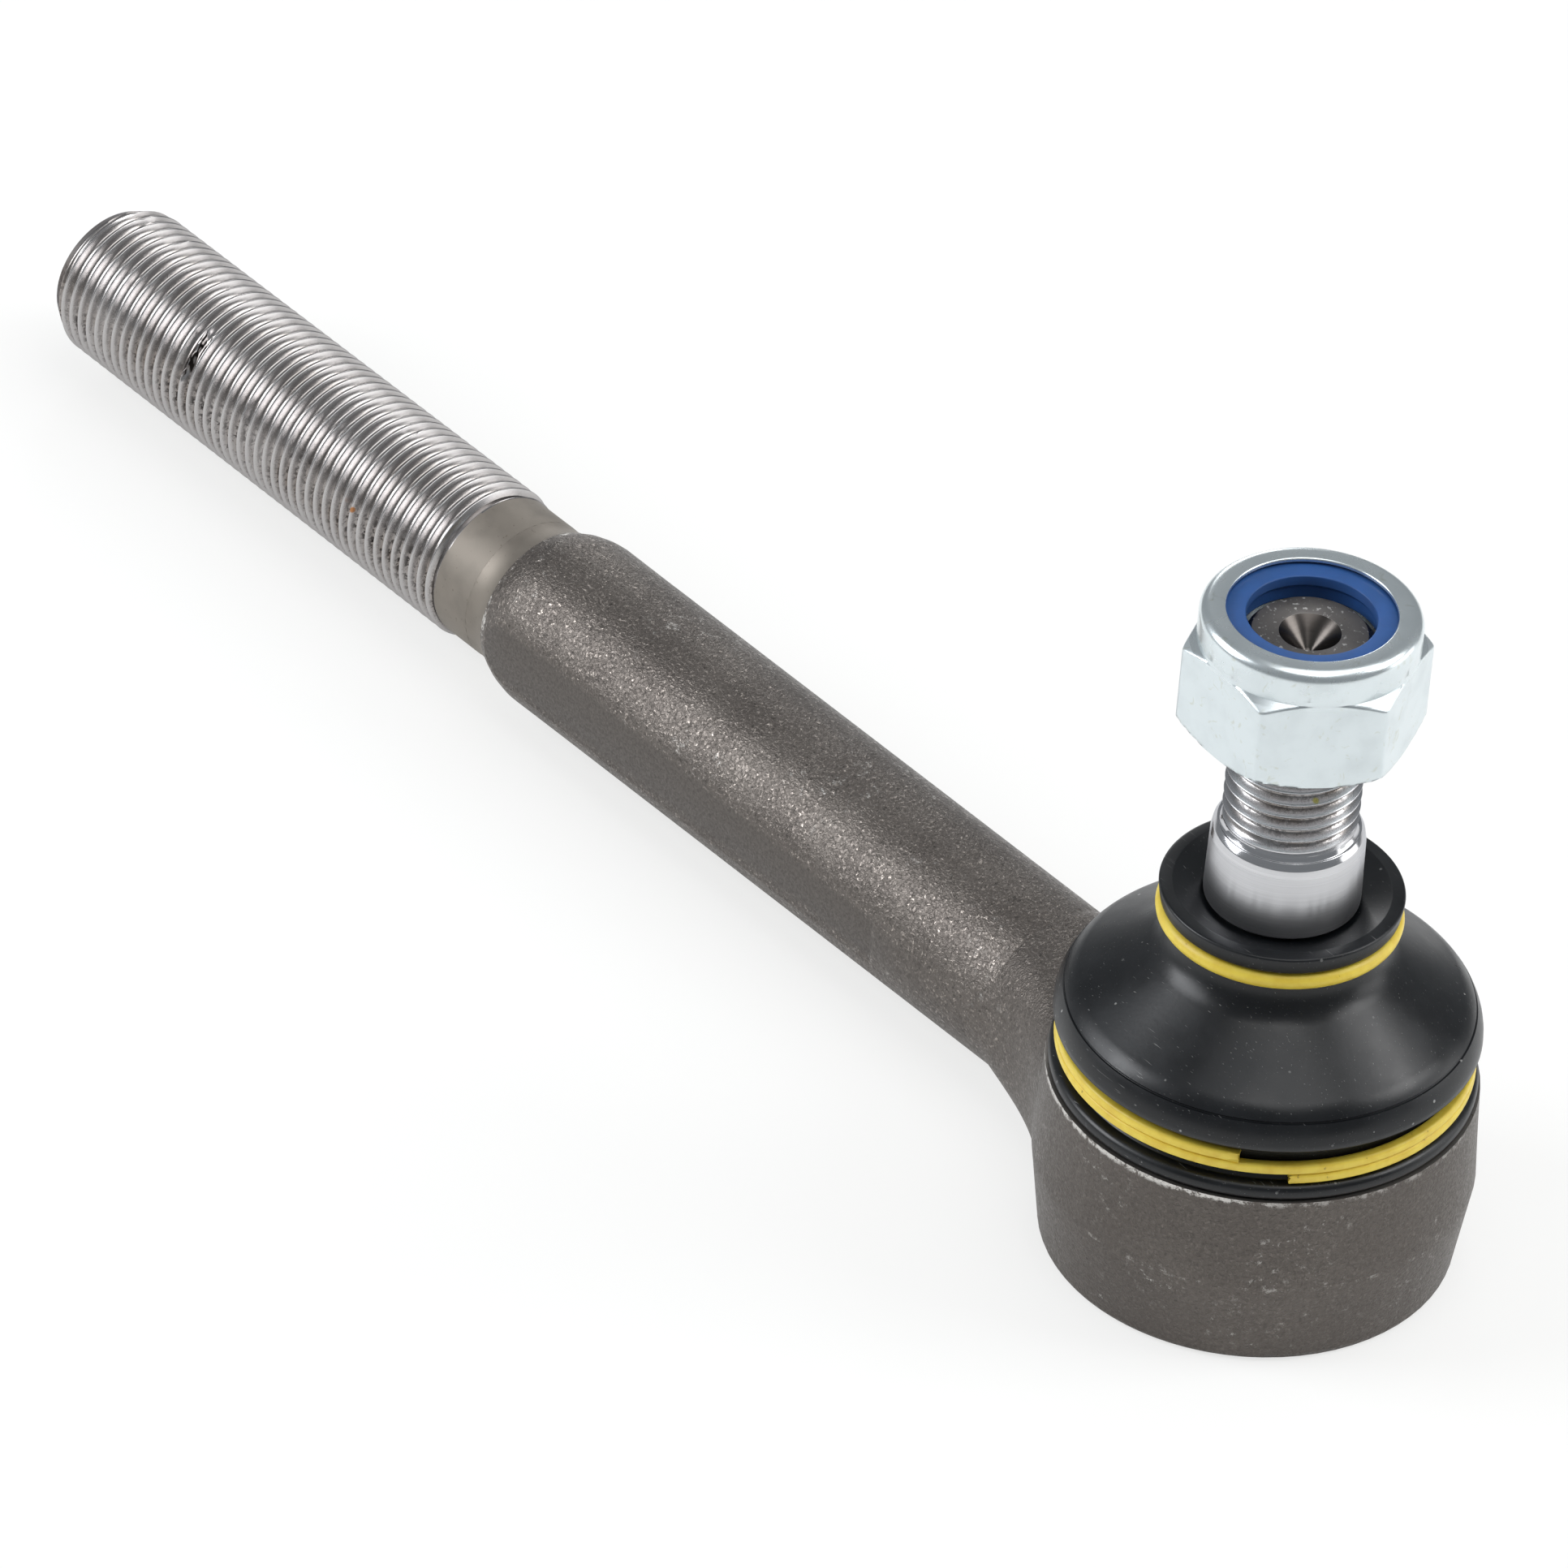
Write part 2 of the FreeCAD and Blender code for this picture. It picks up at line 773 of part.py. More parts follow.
for item in doc.Objects:
    if "Invalid" in item.State or "Error" in item.State:
        raise RuntimeError("%s did not build: %s" % (item.Name, item.State))
for part in parts:
    if part.Shape.isNull() or not part.Shape.isValid() or len(part.Shape.Solids) != 1:
        raise RuntimeError("%s is not one sound solid" % part.Label)

os.makedirs("parts", exist_ok=True)
for part in parts:
    part.Shape.exportStep("parts/%s.step" % part.Label)
    box = part.Shape.BoundBox
    print("%-18s %9.1f mm3  x %.2f %.2f  y %.2f %.2f  z %.2f %.2f" % (
        part.Label, part.Shape.Volume, box.XMin, box.XMax, box.YMin, box.YMax, box.ZMin, box.ZMax))
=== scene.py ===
"""Dresses the CAD frame of a ball-joint tie rod: threads, forging, rubber boot, rings and lock nut."""

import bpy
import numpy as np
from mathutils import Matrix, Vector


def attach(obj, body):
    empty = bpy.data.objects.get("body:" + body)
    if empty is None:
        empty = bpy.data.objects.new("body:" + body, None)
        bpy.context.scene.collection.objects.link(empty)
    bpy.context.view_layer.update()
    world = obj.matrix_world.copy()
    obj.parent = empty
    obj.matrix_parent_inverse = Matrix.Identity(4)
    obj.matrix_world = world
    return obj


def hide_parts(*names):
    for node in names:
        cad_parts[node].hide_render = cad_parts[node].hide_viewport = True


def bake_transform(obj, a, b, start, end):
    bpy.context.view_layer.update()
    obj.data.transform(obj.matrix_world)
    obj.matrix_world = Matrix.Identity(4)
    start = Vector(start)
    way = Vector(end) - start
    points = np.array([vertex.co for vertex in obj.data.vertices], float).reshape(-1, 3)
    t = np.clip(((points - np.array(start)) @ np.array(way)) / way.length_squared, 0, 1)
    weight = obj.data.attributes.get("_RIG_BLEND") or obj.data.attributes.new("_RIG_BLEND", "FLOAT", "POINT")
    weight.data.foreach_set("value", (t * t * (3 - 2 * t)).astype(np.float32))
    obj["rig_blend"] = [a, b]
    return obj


bl_info = {
    "name": "Tie Rod Dressing",
    "version": (1, 0, 0),
    "blender": (4, 5, 0),
    "location": "View3D > Sidebar > Tie Rod",
    "description": "Builds the visible pieces and finishes of a threaded ball-joint tie rod",
    "category": "Object",
}

import functools
import math
import random

import bmesh
import bpy
from bpy.props import FloatProperty, FloatVectorProperty, IntProperty, PointerProperty
from mathutils import Matrix, Vector

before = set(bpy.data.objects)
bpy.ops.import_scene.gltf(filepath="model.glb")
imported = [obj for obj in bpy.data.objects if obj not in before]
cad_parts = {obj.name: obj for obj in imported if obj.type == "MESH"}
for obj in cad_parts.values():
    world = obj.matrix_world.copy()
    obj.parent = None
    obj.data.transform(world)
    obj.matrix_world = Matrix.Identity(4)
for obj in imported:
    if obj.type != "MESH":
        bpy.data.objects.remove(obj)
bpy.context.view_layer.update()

MM = 0.001
TURN = 2 * math.pi
FLAT_ANGLE = math.pi / 3
# Points closer than WELD are one point. Points of one level are less than LEVEL apart in height.
WELD = 1e-7
LEVEL = 2e-6


def linear(hex_colour):
    """An sRGB hex colour as linear red, green, blue."""
    channels = []
    for i in (1, 3, 5):
        value = int(hex_colour[i:i + 2], 16) / 255
        channels.append(value / 12.92 if value <= 0.04045 else ((value + 0.055) / 1.055) ** 2.4)
    return tuple(channels)


def length(name, description, default_mm):
    """A length of the panel, given in millimetres."""
    return FloatProperty(name=name, description=description, default=default_mm * MM,
                         unit="LENGTH", precision=5, min=0.0)


def colour(name, description, hex_colour):
    """A colour of the panel, given as its hex text."""
    return FloatVectorProperty(name=name, description=description, subtype="COLOR",
                               default=linear(hex_colour), min=0.0, max=1.0)


class TieRodSizes(bpy.types.PropertyGroup):
    """Sizes of the pieces, in the frame of the CAD model."""

    thread_pitch: length("Thread pitch", "Distance from crest to crest on rod and stud", 1.5)
    rod_axis_height: length("Rod axis height", "Height of the rod's axis over the base", 10.4)
    rod_end: length("Rod end", "Distance of the threaded end from the stud's axis", 192.0)
    rod_crest: length("Rod crest radius", "Outside radius of the rod thread", 8.92)
    rod_root: length("Rod root radius", "Radius at the bottom of the rod thread", 8.08)
    rod_end_radius: length("Rod end radius", "Radius of the flat face at the threaded end", 7.6)
    thread_start: length("Thread start", "Distance of the thread's inner end from the stud", 124.0)
    neck: length("Neck radius", "Radius of the plain neck behind the thread", 8.45)
    neck_end: length("Neck end", "Distance from the stud where neck meets turned cone", 118.6)
    shank: length("Shank radius", "Radius of the shank where it starts to swell", 9.83)
    head_skin: length("Head skin radius", "Radius that the swelling touches in the head", 22.6)
    swell: length("Swelling radius", "Radius of the arc between shank and head, from above", 24.0)
    ball_height: length("Ball height", "Height of the ball's centre", 15.0)
    ball: length("Ball radius", "Radius of the ball", 11.5)
    stud_neck: length("Stud neck radius", "Radius of the ground neck", 6.9)
    stud_crest: length("Stud crest radius", "Outside radius of the stud thread", 6.97)
    stud_root: length("Stud root radius", "Radius at the bottom of the stud thread", 6.12)
    stud_thread_start: length("Stud thread start", "Height where the stud thread starts", 53.2)
    stud_tip: length("Stud tip height", "Height of the stud's end face", 76.4)
    stud_tip_radius: length("Stud tip radius", "Radius of the stud's end face", 5.85)
    drill: length("Centre drill radius", "Mouth radius of the cone drilled in the tip", 3.15)
    drill_depth: length("Centre drill depth", "Depth of the cone drilled in the tip", 3.1)
    boot_foot: length("Boot foot height", "Height of the underside of the boot", 21.25)
    boot_lip: length("Boot lip radius", "Outside radius of the lip under the lower ring", 22.05)
    boot_groove: length("Ring groove radius", "Radius of the groove for the lower ring", 20.4)
    boot_bulge: length("Boot bulge radius", "Largest radius of the bellows", 22.0)
    boot_bulge_height: length("Boot bulge height", "Height of the largest radius", 27.6)
    boot_waist: length("Boot waist radius", "Radius under the upper ring", 10.85)
    boot_flange: length("Boot flange radius", "Radius of the top flange", 12.6)
    boot_top: length("Boot top height", "Height of the rim of the top flange", 44.6)
    boot_wall: length("Boot wall", "Thickness of the rubber", 1.7)
    wire: length("Upper wire radius", "Radius of the round wire of the upper ring", 0.9)
    wire_height: length("Upper ring height", "Height of the middle of the upper ring", 41.5)
    band_inner: length("Lower ring inner radius", "Inside radius of the flat-wire ring", 20.45)
    band_thickness: length("Band thickness", "Radial thickness of the flat wire", 1.2)
    band_height: length("Band height", "Height of the flat wire", 1.13)
    band_pitch: length("Band pitch", "Rise of the flat wire in a turn", 1.17)
    band_bottom: length("Band bottom", "Height where the flat wire starts", 23.1)
    nut_flats: length("Nut flats", "Half the width across the flats", 11.15)
    nut_bottom: length("Nut bottom", "Height of the underside of the nut", 64.5)
    nut_top: length("Nut top", "Height of the rolled rim", 79.2)
    nut_shoulder: length("Nut shoulder", "Height where the hexagon ends at the collar", 75.3)
    nut_collar: length("Nut collar radius", "Outside radius of the collar", 11.3)
    nut_rim: length("Nut rim radius", "Inside radius of the rolled rim", 8.65)
    insert_top: length("Insert top", "Height of the top of the nylon", 78.4)
    insert_bore: length("Insert bore", "Radius of the hole in the nylon", 6.6)
    seed: IntProperty(name="Seed", description="Start of the random draws", default=7, min=0)


class TieRodColours(bpy.types.PropertyGroup):
    """Colours of the finishes."""

    forging: colour("Forging", "Shot-blasted forged steel", "#6a645f")
    forging_dark: colour("Forging scale", "Darker patches of the forging", "#57514d")
    trimmed: colour("Trimmed flash", "Sides of the shank where the flash was cut", "#5e5955")
    machined: colour("Machined steel", "Bare turned steel", "#8d8883")
    neck: colour("Neck steel", "Bare neck behind the thread", "#857e75")
    thread: colour("Thread steel", "Rolled thread", "#bcb9b8")
    tip: colour("Stud tip", "Dull end face of the stud", "#6e6b69")
    ground: colour("Ground steel", "Ground and polished stud", "#cdcdcf")
    rubber: colour("Rubber", "Moulded rubber", "#0b0d10")
    yellow: colour("Ring paint", "Yellow paint on the rings", "#e5cc4b")
    zinc: colour("Zinc", "Bluish zinc plate of the nut", "#dbe3e5")
    nylon: colour("Nylon", "Blue nylon insert", "#2a4f86")
    acetal: colour("Seat plastic", "Natural plastic of the ball seat", "#e4e0d4")
    plate: colour("Plate steel", "Pressed closing plate", "#6c6863")
    floor: colour("Floor", "Pale floor and backdrop", "#fdfdfc")


def sizes():
    return bpy.context.scene.tie_rod_sizes


def colours():
    return bpy.context.scene.tie_rod_colours


# Materials


def connect(node, links):
    """Feeds sockets of a node. A link comes from a socket, or from the first output of a node."""
    for key, source in links.items():
        if isinstance(source, bpy.types.Node):
            source = source.outputs[0]
        node.id_data.links.new(source, node.inputs[key])


def add_node(tree, kind, settings=None, links=None):
    """Adds a shader node. Lower-case settings are the node's own and others are its sockets."""
    node = tree.nodes.new("ShaderNode" + kind)
    for key, value in (settings or {}).items():
        if isinstance(key, str) and key[0].islower():
            setattr(node, key, value)
        else:
            node.inputs[key].default_value = value
    connect(node, links or {})
    return node


def rgba(base, factor=1.0):
    """A linear or hex colour as a socket takes it, made lighter or darker by factor."""
    if isinstance(base, str):
        base = linear(base)
    return tuple(min(1.0, channel * factor) for channel in base) + (1.0,)


def new_material(name, base, metallic, roughness, **sockets):
    """A material with one surface shader. Also returns the function that adds a node to it, the
    shader, and the object's coordinates in millimetres."""
    material = bpy.data.materials.new(name)
    material.use_nodes = True
    tree = material.node_tree
    tree.nodes.clear()
    add = functools.partial(add_node, tree)
    shader = add("BsdfPrincipled", {
        "Base Color": rgba(base), "Metallic": metallic, "Roughness": roughness})
    for key, value in sockets.items():
        shader.inputs[key.replace("_", " ")].default_value = value
    add("OutputMaterial", links={"Surface": shader})
    place = add("TexCoord")
    space = add("Mapping", {"Scale": (1 / MM,) * 3}, {"Vector": place.outputs["Object"]})
    return material, add, shader, space


def lay_over(add, tone, second, value, bare, full, most=1.0):
    """Lays a second colour over tone where value goes from bare to full, at most to this share.
    Both colours are constants or nodes."""
    share = add("MapRange", {"From Min": bare, "From Max": full, "To Max": most}, {"Value": value})
    ends = {"Color1": tone, "Color2": second}
    fixed = {key: end for key, end in ends.items() if isinstance(end, tuple)}
    linked = {key: end for key, end in ends.items() if key not in fixed}
    return add("MixRGB", fixed, {"Fac": share, **linked})


def forged_steel():
    """Drop-forged and shot-blasted steel: dull grey-brown, with a fine grain that carries painted glints.
    Where the flash was sheared off along the shank's sides it is darker, even and finer."""
    base = colours().forging
    material, add, shader, space = new_material("shot_blasted_forging", base, 0.8, 0.42)
    # Scale left from the fire makes soft patches about 9 mm across.
    patches = add("TexNoise", {"Scale": 1 / 9.0, "Detail": 4.0}, {"Vector": space})
    tone = lay_over(add, rgba(base), rgba(colours().forging_dark), patches, 0.4, 0.65, 0.5)
    # The grit leaves dimples about 0.35 mm wide. Each one takes its own tone.
    grit = add("TexNoise", {"Scale": 1 / 0.36, "Detail": 2.0, "Roughness": 0.6, "Distortion": 0.8},
               {"Vector": space})
    dimples = add("MapRange", {
        "From Min": 0.36, "From Max": 0.64, "To Min": 0.82, "To Max": 1.2}, {"Value": grit})
    tone = add("MixRGB", {"blend_type": "MULTIPLY", "Fac": 1.0}, {"Color1": tone, "Color2": dimples})
    # Their open facets are painted as pale points, painted glints in the base colour.
    painted_glint = add("MapRange", {"From Min": 0.62, "From Max": 0.70, "To Max": 0.75}, {"Value": grit})
    position = add("SeparateXYZ", links={"Vector": space})
    headward = add("MapRange", {"From Min": -34.0, "From Max": -12.0, "To Max": 0.6},
                   {"Value": position.outputs["X"]})
    calmer = add("MapRange", {"From Max": 0.6, "To Min": 1.0, "To Max": 0.3}, {"Value": headward})
    painted_glint = add("Math", {"operation": "MULTIPLY"}, {0: painted_glint, 1: calmer})
    tone = add("MixRGB", {"Color2": rgba(base, 3.4)}, {"Fac": painted_glint, "Color1": tone})
    # The deepest dimples are black with scale.
    pits = add("TexNoise", {"Scale": 1 / 0.55, "Detail": 3.0, "Roughness": 0.6}, {"Vector": space})
    tone = lay_over(add, tone, rgba(base, 0.35), pits, 0.40, 0.33, 0.7)
    # Towards the head the colour turns darker, and the painted glints calmer.
    tone = add("MixRGB", {"Color2": rgba(base, 0.72)}, {"Fac": headward, "Color1": tone})
    # Knocks break the skin along the head's upper edge and along its parting line.
    edge = add("MapRange", {"From Min": 20.45, "From Max": 20.85, "To Max": 0.95},
               {"Value": position.outputs["Z"]})
    # They are painted brightest on the side that faces the key lamp, a painted highlight on the real nicks,
    # and faint around the rest of the edge.
    key_lamp_side = add("VectorMath", {"operation": "DOT_PRODUCT", 1: (-0.678, -0.735, 0.0)}, {0: space})
    key_lamp_side = add("MapRange", {
        "From Min": -4.0, "From Max": 5.0, "To Min": 0.4}, {"Value": key_lamp_side.outputs["Value"]})
    edge = add("Math", {"operation": "MULTIPLY"}, {0: edge, 1: key_lamp_side})
    parting = add("Math", {"operation": "COMPARE", 1: 10.3, 2: 0.22}, {0: position.outputs["Z"]})
    along_head = add("Math", {"operation": "GREATER_THAN", 1: 0.0}, {0: position.outputs["X"]})
    parting = add("Math", {"operation": "MULTIPLY"}, {0: parting, 1: along_head})
    parting = add("Math", {"operation": "MULTIPLY", 1: 0.36}, {0: parting})
    exposed = add("Math", {"operation": "MAXIMUM"}, {0: edge, 1: parting})
    # The edge left by the turning tool is nicked too.
    tool_edge = add("Math", {"operation": "COMPARE", 1: -115.1, 2: 0.4}, {0: position.outputs["X"]})
    exposed = add("Math", {"operation": "MAXIMUM"}, {0: exposed, 1: tool_edge})
    knocks = add("TexNoise", {"Scale": 1 / 1.3, "Detail": 6.0, "Roughness": 0.8}, {"Vector": space})
    favoured = add("Math", {"operation": "MULTIPLY_ADD", 1: 0.11}, {0: edge, 2: knocks})
    broken = add("MapRange", {"From Min": 0.53, "From Max": 0.60}, {"Value": favoured})
    bright = add("Math", {"operation": "MULTIPLY"}, {0: exposed, 1: broken})
    # Rubs from handling show as faint clusters of pale marks.
    rub_area = add("TexNoise", {"Scale": 1 / 11.0, "Detail": 1.0}, {"Vector": space})
    rub_area = add("MapRange", {"From Min": 0.53, "From Max": 0.66, "To Max": 0.6}, {"Value": rub_area})
    rubs = add("MapRange", {"From Min": 0.58, "From Max": 0.66}, {"Value": knocks})
    rubs = add("Math", {"operation": "MULTIPLY"}, {0: rub_area, 1: rubs})
    bright = add("Math", {"operation": "MAXIMUM"}, {0: bright, 1: rubs})
    tone = add("MixRGB", {"Color2": rgba("#d2cfca")}, {"Fac": bright, "Color1": tone})
    # The sheared sides of the shank face sideways. They lie outside the swelling to the head.
    facing = add("TexCoord")
    facing = add("SeparateXYZ", links={"Vector": facing.outputs["Normal"]})
    sideways = add("Math", {"operation": "ABSOLUTE"}, {0: facing.outputs["Y"]})
    sideways = add("MapRange", {"From Min": 0.972, "From Max": 0.985}, {"Value": sideways})
    shank = add("MapRange", {"From Min": -36.0, "From Max": -50.0}, {"Value": position.outputs["X"]})
    sheared = add("Math", {"operation": "MULTIPLY"}, {0: sideways, 1: shank})
    fine = add("MapRange", {
        "From Min": 0.35, "From Max": 0.65, "To Min": 0.86, "To Max": 1.14}, {"Value": grit})
    fine = add("MixRGB", {"blend_type": "MULTIPLY", "Fac": 1.0, "Color1": rgba(colours().trimmed)},
               {"Color2": fine})
    tone = add("MixRGB", links={"Fac": sheared, "Color1": tone, "Color2": fine})
    rough = add("MapRange", {
        "From Min": 0.3, "From Max": 0.7, "To Min": 0.52, "To Max": 0.30}, {"Value": grit})
    # The skin is also gently uneven over about 3 mm.
    waves = add("TexNoise", {"Scale": 1 / 3.0}, {"Vector": space})
    uneven = add("Bump", {"Distance": 0.06 * MM}, {"Height": waves})
    strength = add("MapRange", {"To Min": 1.0, "To Max": 0.25}, {"Value": sheared})
    pitted = add("Bump", {"Distance": 0.12 * MM},
                 {"Height": grit, "Normal": uneven, "Strength": strength})
    connect(shader, {"Base Color": tone, "Roughness": rough, "Normal": pitted})
    return material


def turned_steel(name, base, feed_mm, along, roughness=0.34, metallic=0.9, grains=0.0):
    """Steel cut on a lathe: fine tool lines follow each other at the feed, under thin stains.
    Grains left from blasting show as pale points."""
    material, add, shader, space = new_material(name, base, metallic, roughness)
    lines = add("TexWave", {
        "wave_type": "BANDS" if along == "X" else "RINGS",
        "bands_direction" if along == "X" else "rings_direction": along,
        "Scale": 0.314 / feed_mm, "Distortion": 0.6, "Detail": 1.0, "Detail Scale": 0.5},
        {"Vector": space})
    stains = add("TexNoise", {"Scale": 1 / 3.5, "Detail": 3.0}, {"Vector": space})
    tone = lay_over(add, rgba(base), rgba(base, 0.55), stains, 0.42, 0.7, 0.4)
    # Pin-point rust sits in a few places.
    points = add("TexNoise", {"Scale": 1 / 0.5, "Detail": 2.0}, {"Vector": space})
    tone = lay_over(add, tone, rgba("#5d5245"), points, 0.70, 0.76, 0.7)
    tone = lay_over(add, tone, rgba("#d9d8d5"), points, 0.38, 0.30, grains)
    tooled = add("Bump", {"Distance": 0.003 * MM}, {"Height": lines.outputs["Fac"]})
    connect(shader, {"Base Color": tone, "Normal": tooled})
    return material


def rolled_thread_steel(name, base, dirt, oil_and_shade_hex, fade_height, fleck, fleck_hex):
    """Rolled thread: burnished steel that darkens towards its sides. Old oil and painted shade darken the
    roots, more so towards the bottom, and dark specks of dirt lie in them; both grow fainter over the height
    that is given. Cuts in the crests are black, and one fleck sticks to it."""
    material, add, shader, space = new_material(name, base, 1.0, 0.27)
    shader.inputs["Specular Tint"].default_value = rgba("#a0a0a3")
    depth = add("Attribute", {"attribute_name": "thread_height"})
    # Old oil and painted shade darken the roots, in patches.
    root = add("MapRange", {"From Min": 0.78, "From Max": 0.12}, {"Value": depth.outputs["Fac"]})
    oily = add("TexNoise", {"Scale": 1 / 5.0, "Detail": 3.0}, {"Vector": space})
    oily = add("MapRange", {
        "From Min": 0.35, "From Max": 0.65, "To Min": 0.45, "To Max": 1.0}, {"Value": oily})
    oil_and_shade = add("Math", {"operation": "MULTIPLY"}, {0: root, 1: oily})
    height = add("SeparateXYZ", links={"Vector": space})
    # The root colour is darker towards the bottom, below the given height.
    towards_bottom = add("MapRange", {"From Min": fade_height - 1.0, "From Max": fade_height - 7.0,
                               "To Min": 0.55}, {"Value": height.outputs["Z"]})
    oil_and_shade = add("Math", {"operation": "MULTIPLY"}, {0: oil_and_shade, 1: towards_bottom})
    tone = add("MixRGB", {"Color1": rgba(base), "Color2": rgba(oil_and_shade_hex)}, {"Fac": oil_and_shade})
    # Dirt gathers in specks about 0.4 mm wide, more in some places than in others.
    specks = add("TexNoise", {"Scale": 1 / 0.5, "Detail": 3.0, "Roughness": 0.7}, {"Vector": space})
    speckled = add("MapRange", {"From Min": 0.49, "From Max": 0.56}, {"Value": specks})
    settled = add("MapRange", {"From Min": fade_height, "From Max": fade_height - 6.0, "To Min": 0.1},
                  {"Value": height.outputs["Z"]})
    speckled = add("Math", {"operation": "MULTIPLY"}, {0: speckled, 1: settled})
    places = add("TexNoise", {"Scale": 1 / 8.0, "Detail": 2.0}, {"Vector": space})
    places = add("MapRange", {"From Min": 0.38, "From Max": 0.60, "To Min": 0.3, "To Max": dirt},
                 {"Value": places})
    grime = add("Math", {"operation": "MULTIPLY"}, {0: speckled, 1: places})
    grime = add("Math", {"operation": "MULTIPLY"}, {0: grime, 1: root})
    cut = add("MapRange", {"From Min": -0.1, "From Max": -0.7}, {"Value": depth.outputs["Fac"]})
    grime = add("Math", {"operation": "MAXIMUM"}, {0: grime, 1: cut})
    tone = add("MixRGB", {"Color2": rgba("#262220")}, {"Fac": grime, "Color1": tone})
    near = add("VectorMath", {"operation": "DISTANCE", 1: fleck}, {0: space})
    tone = lay_over(add, tone, rgba(fleck_hex), near.outputs["Value"], 0.42, 0.25, 0.85)
    rough = add("MapRange", {"To Min": 0.25, "To Max": 0.6}, {"Value": grime})
    rippled = add("Bump", {"Distance": 0.0015 * MM}, {"Height": specks})
    connect(shader, {"Base Color": tone, "Roughness": rough, "Normal": rippled})
    return material


def ground_steel(name, base, roughness=0.36):
    """Ground steel: satin, with very fine lines around the axis. It darkens to its sides."""
    material, add, shader, space = new_material(name, base, 1.0, roughness)
    shader.inputs["Specular Tint"].default_value = rgba("#d8d9dc")
    # The lines are about 0.02 mm apart, drawn ten times coarser so that they show.
    squeeze = add("Mapping", {"Scale": (0.05, 0.05, 5.0)}, {"Vector": space})
    lines = add("TexNoise", {"Scale": 1.0, "Detail": 2.0}, {"Vector": squeeze})
    shade = add("MapRange", {
        "From Min": 0.3, "From Max": 0.7, "To Min": 0.93, "To Max": 1.04}, {"Value": lines})
    tone = add("MixRGB", {
        "blend_type": "MULTIPLY", "Fac": 1.0, "Color1": rgba(base)}, {"Color2": shade})
    connect(shader, {"Base Color": tone})
    return material


def moulded_rubber():
    """Moulded nitrile rubber: satin blue-black, with dust, rubs and hair scratches."""
    base = colours().rubber
    material, add, shader, space = new_material(
        "moulded_rubber", base, 0.0, 0.32, Specular_IOR_Level=0.42)
    cloud = add("TexNoise", {"Scale": 1 / 5.0, "Detail": 5.0}, {"Vector": space})
    tone = lay_over(add, rgba(base), rgba("#14171b"), cloud, 0.42, 0.7, 0.55)
    # Dust grains are about 0.15 mm, drawn a little larger so that they show.
    dust = add("TexVoronoi", {"Scale": 1 / 1.9}, {"Vector": space})
    dusty = add("MapRange", {"From Min": 0.10, "From Max": 0.07, "To Max": 0.75}, {"Value": dust})
    dusty_places = add("MapRange", {"From Min": 0.52, "From Max": 0.60}, {"Value": cloud})
    dusty = add("Math", {"operation": "MULTIPLY"}, {0: dusty, 1: dusty_places})
    # Hair scratches about 0.1 mm wide and a few millimetres long all run one way.
    drawn = add("Mapping", {"Rotation": (0.5, 0.9, 0.4), "Scale": (0.25, 7.0, 7.0)}, {"Vector": space})
    hair = add("TexNoise", {"Scale": 1.0, "Detail": 1.0}, {"Vector": drawn})
    hair = add("MapRange", {"From Min": 0.72, "From Max": 0.78, "To Max": 0.35}, {"Value": hair})
    marks = add("Math", {"operation": "MAXIMUM"}, {0: dusty, 1: hair})
    tone = add("MixRGB", {"Color2": rgba("#a0a09e")}, {"Fac": marks, "Color1": tone})
    rough = add("MapRange", {
        "From Min": 0.3, "From Max": 0.7, "To Min": 0.27, "To Max": 0.40}, {"Value": cloud})
    grain = add("TexNoise", {"Scale": 1 / 0.5}, {"Vector": space})
    skin = add("Bump", {"Distance": 0.006 * MM}, {"Height": grain})
    connect(shader, {"Base Color": tone, "Roughness": rough, "Normal": skin})
    return material


def ring_paint():
    """Yellow enamel dipped on spring wire: satin, ochre in patches, with small chips."""
    base = colours().yellow
    material, add, shader, space = new_material("yellow_enamel", base, 0.0, 0.42)
    cloud = add("TexNoise", {"Scale": 1 / 1.6, "Detail": 3.0}, {"Vector": space})
    tone = lay_over(add, rgba(base), rgba("#cfa827"), cloud, 0.38, 0.7, 0.5)
    chips = add("TexNoise", {"Scale": 1 / 0.8, "Detail": 3.0}, {"Vector": space})
    tone = lay_over(add, tone, rgba("#6e5618"), chips, 0.70, 0.74, 0.6)
    orange_peel = add("TexNoise", {"Scale": 1 / 0.35}, {"Vector": space})
    peeled = add("Bump", {"Distance": 0.008 * MM}, {"Height": orange_peel})
    connect(shader, {"Base Color": tone, "Normal": peeled})
    return material


def zinc_plate(name, roughness):
    """Bright zinc over cold-formed steel: bluish white and soft, with a few yellowish stains.
    It is smoother where the collar was rolled over."""
    base = colours().zinc
    material, add, shader, space = new_material(name, base, 0.9, roughness)
    cloud = add("TexNoise", {"Scale": 1 / 3.2, "Detail": 4.0}, {"Vector": space})
    tone = lay_over(add, rgba(base), rgba(base, 0.93), cloud, 0.45, 0.72)
    stains = add("TexNoise", {"Scale": 1 / 1.4, "Detail": 4.0, "Distortion": 1.5}, {"Vector": space})
    tone = lay_over(add, tone, rgba("#c4c8ba"), stains, 0.62, 0.72, 0.5)
    rough = add("MapRange", {"From Min": 0.3, "From Max": 0.7, "To Min": roughness - 0.04,
                             "To Max": roughness + 0.04}, {"Value": cloud})
    dents = add("TexNoise", {"Scale": 1 / 1.1, "Detail": 3.0}, {"Vector": space})
    dented = add("Bump", {"Distance": 0.003 * MM}, {"Height": dents})
    connect(shader, {"Base Color": tone, "Roughness": rough, "Normal": dented})
    return material


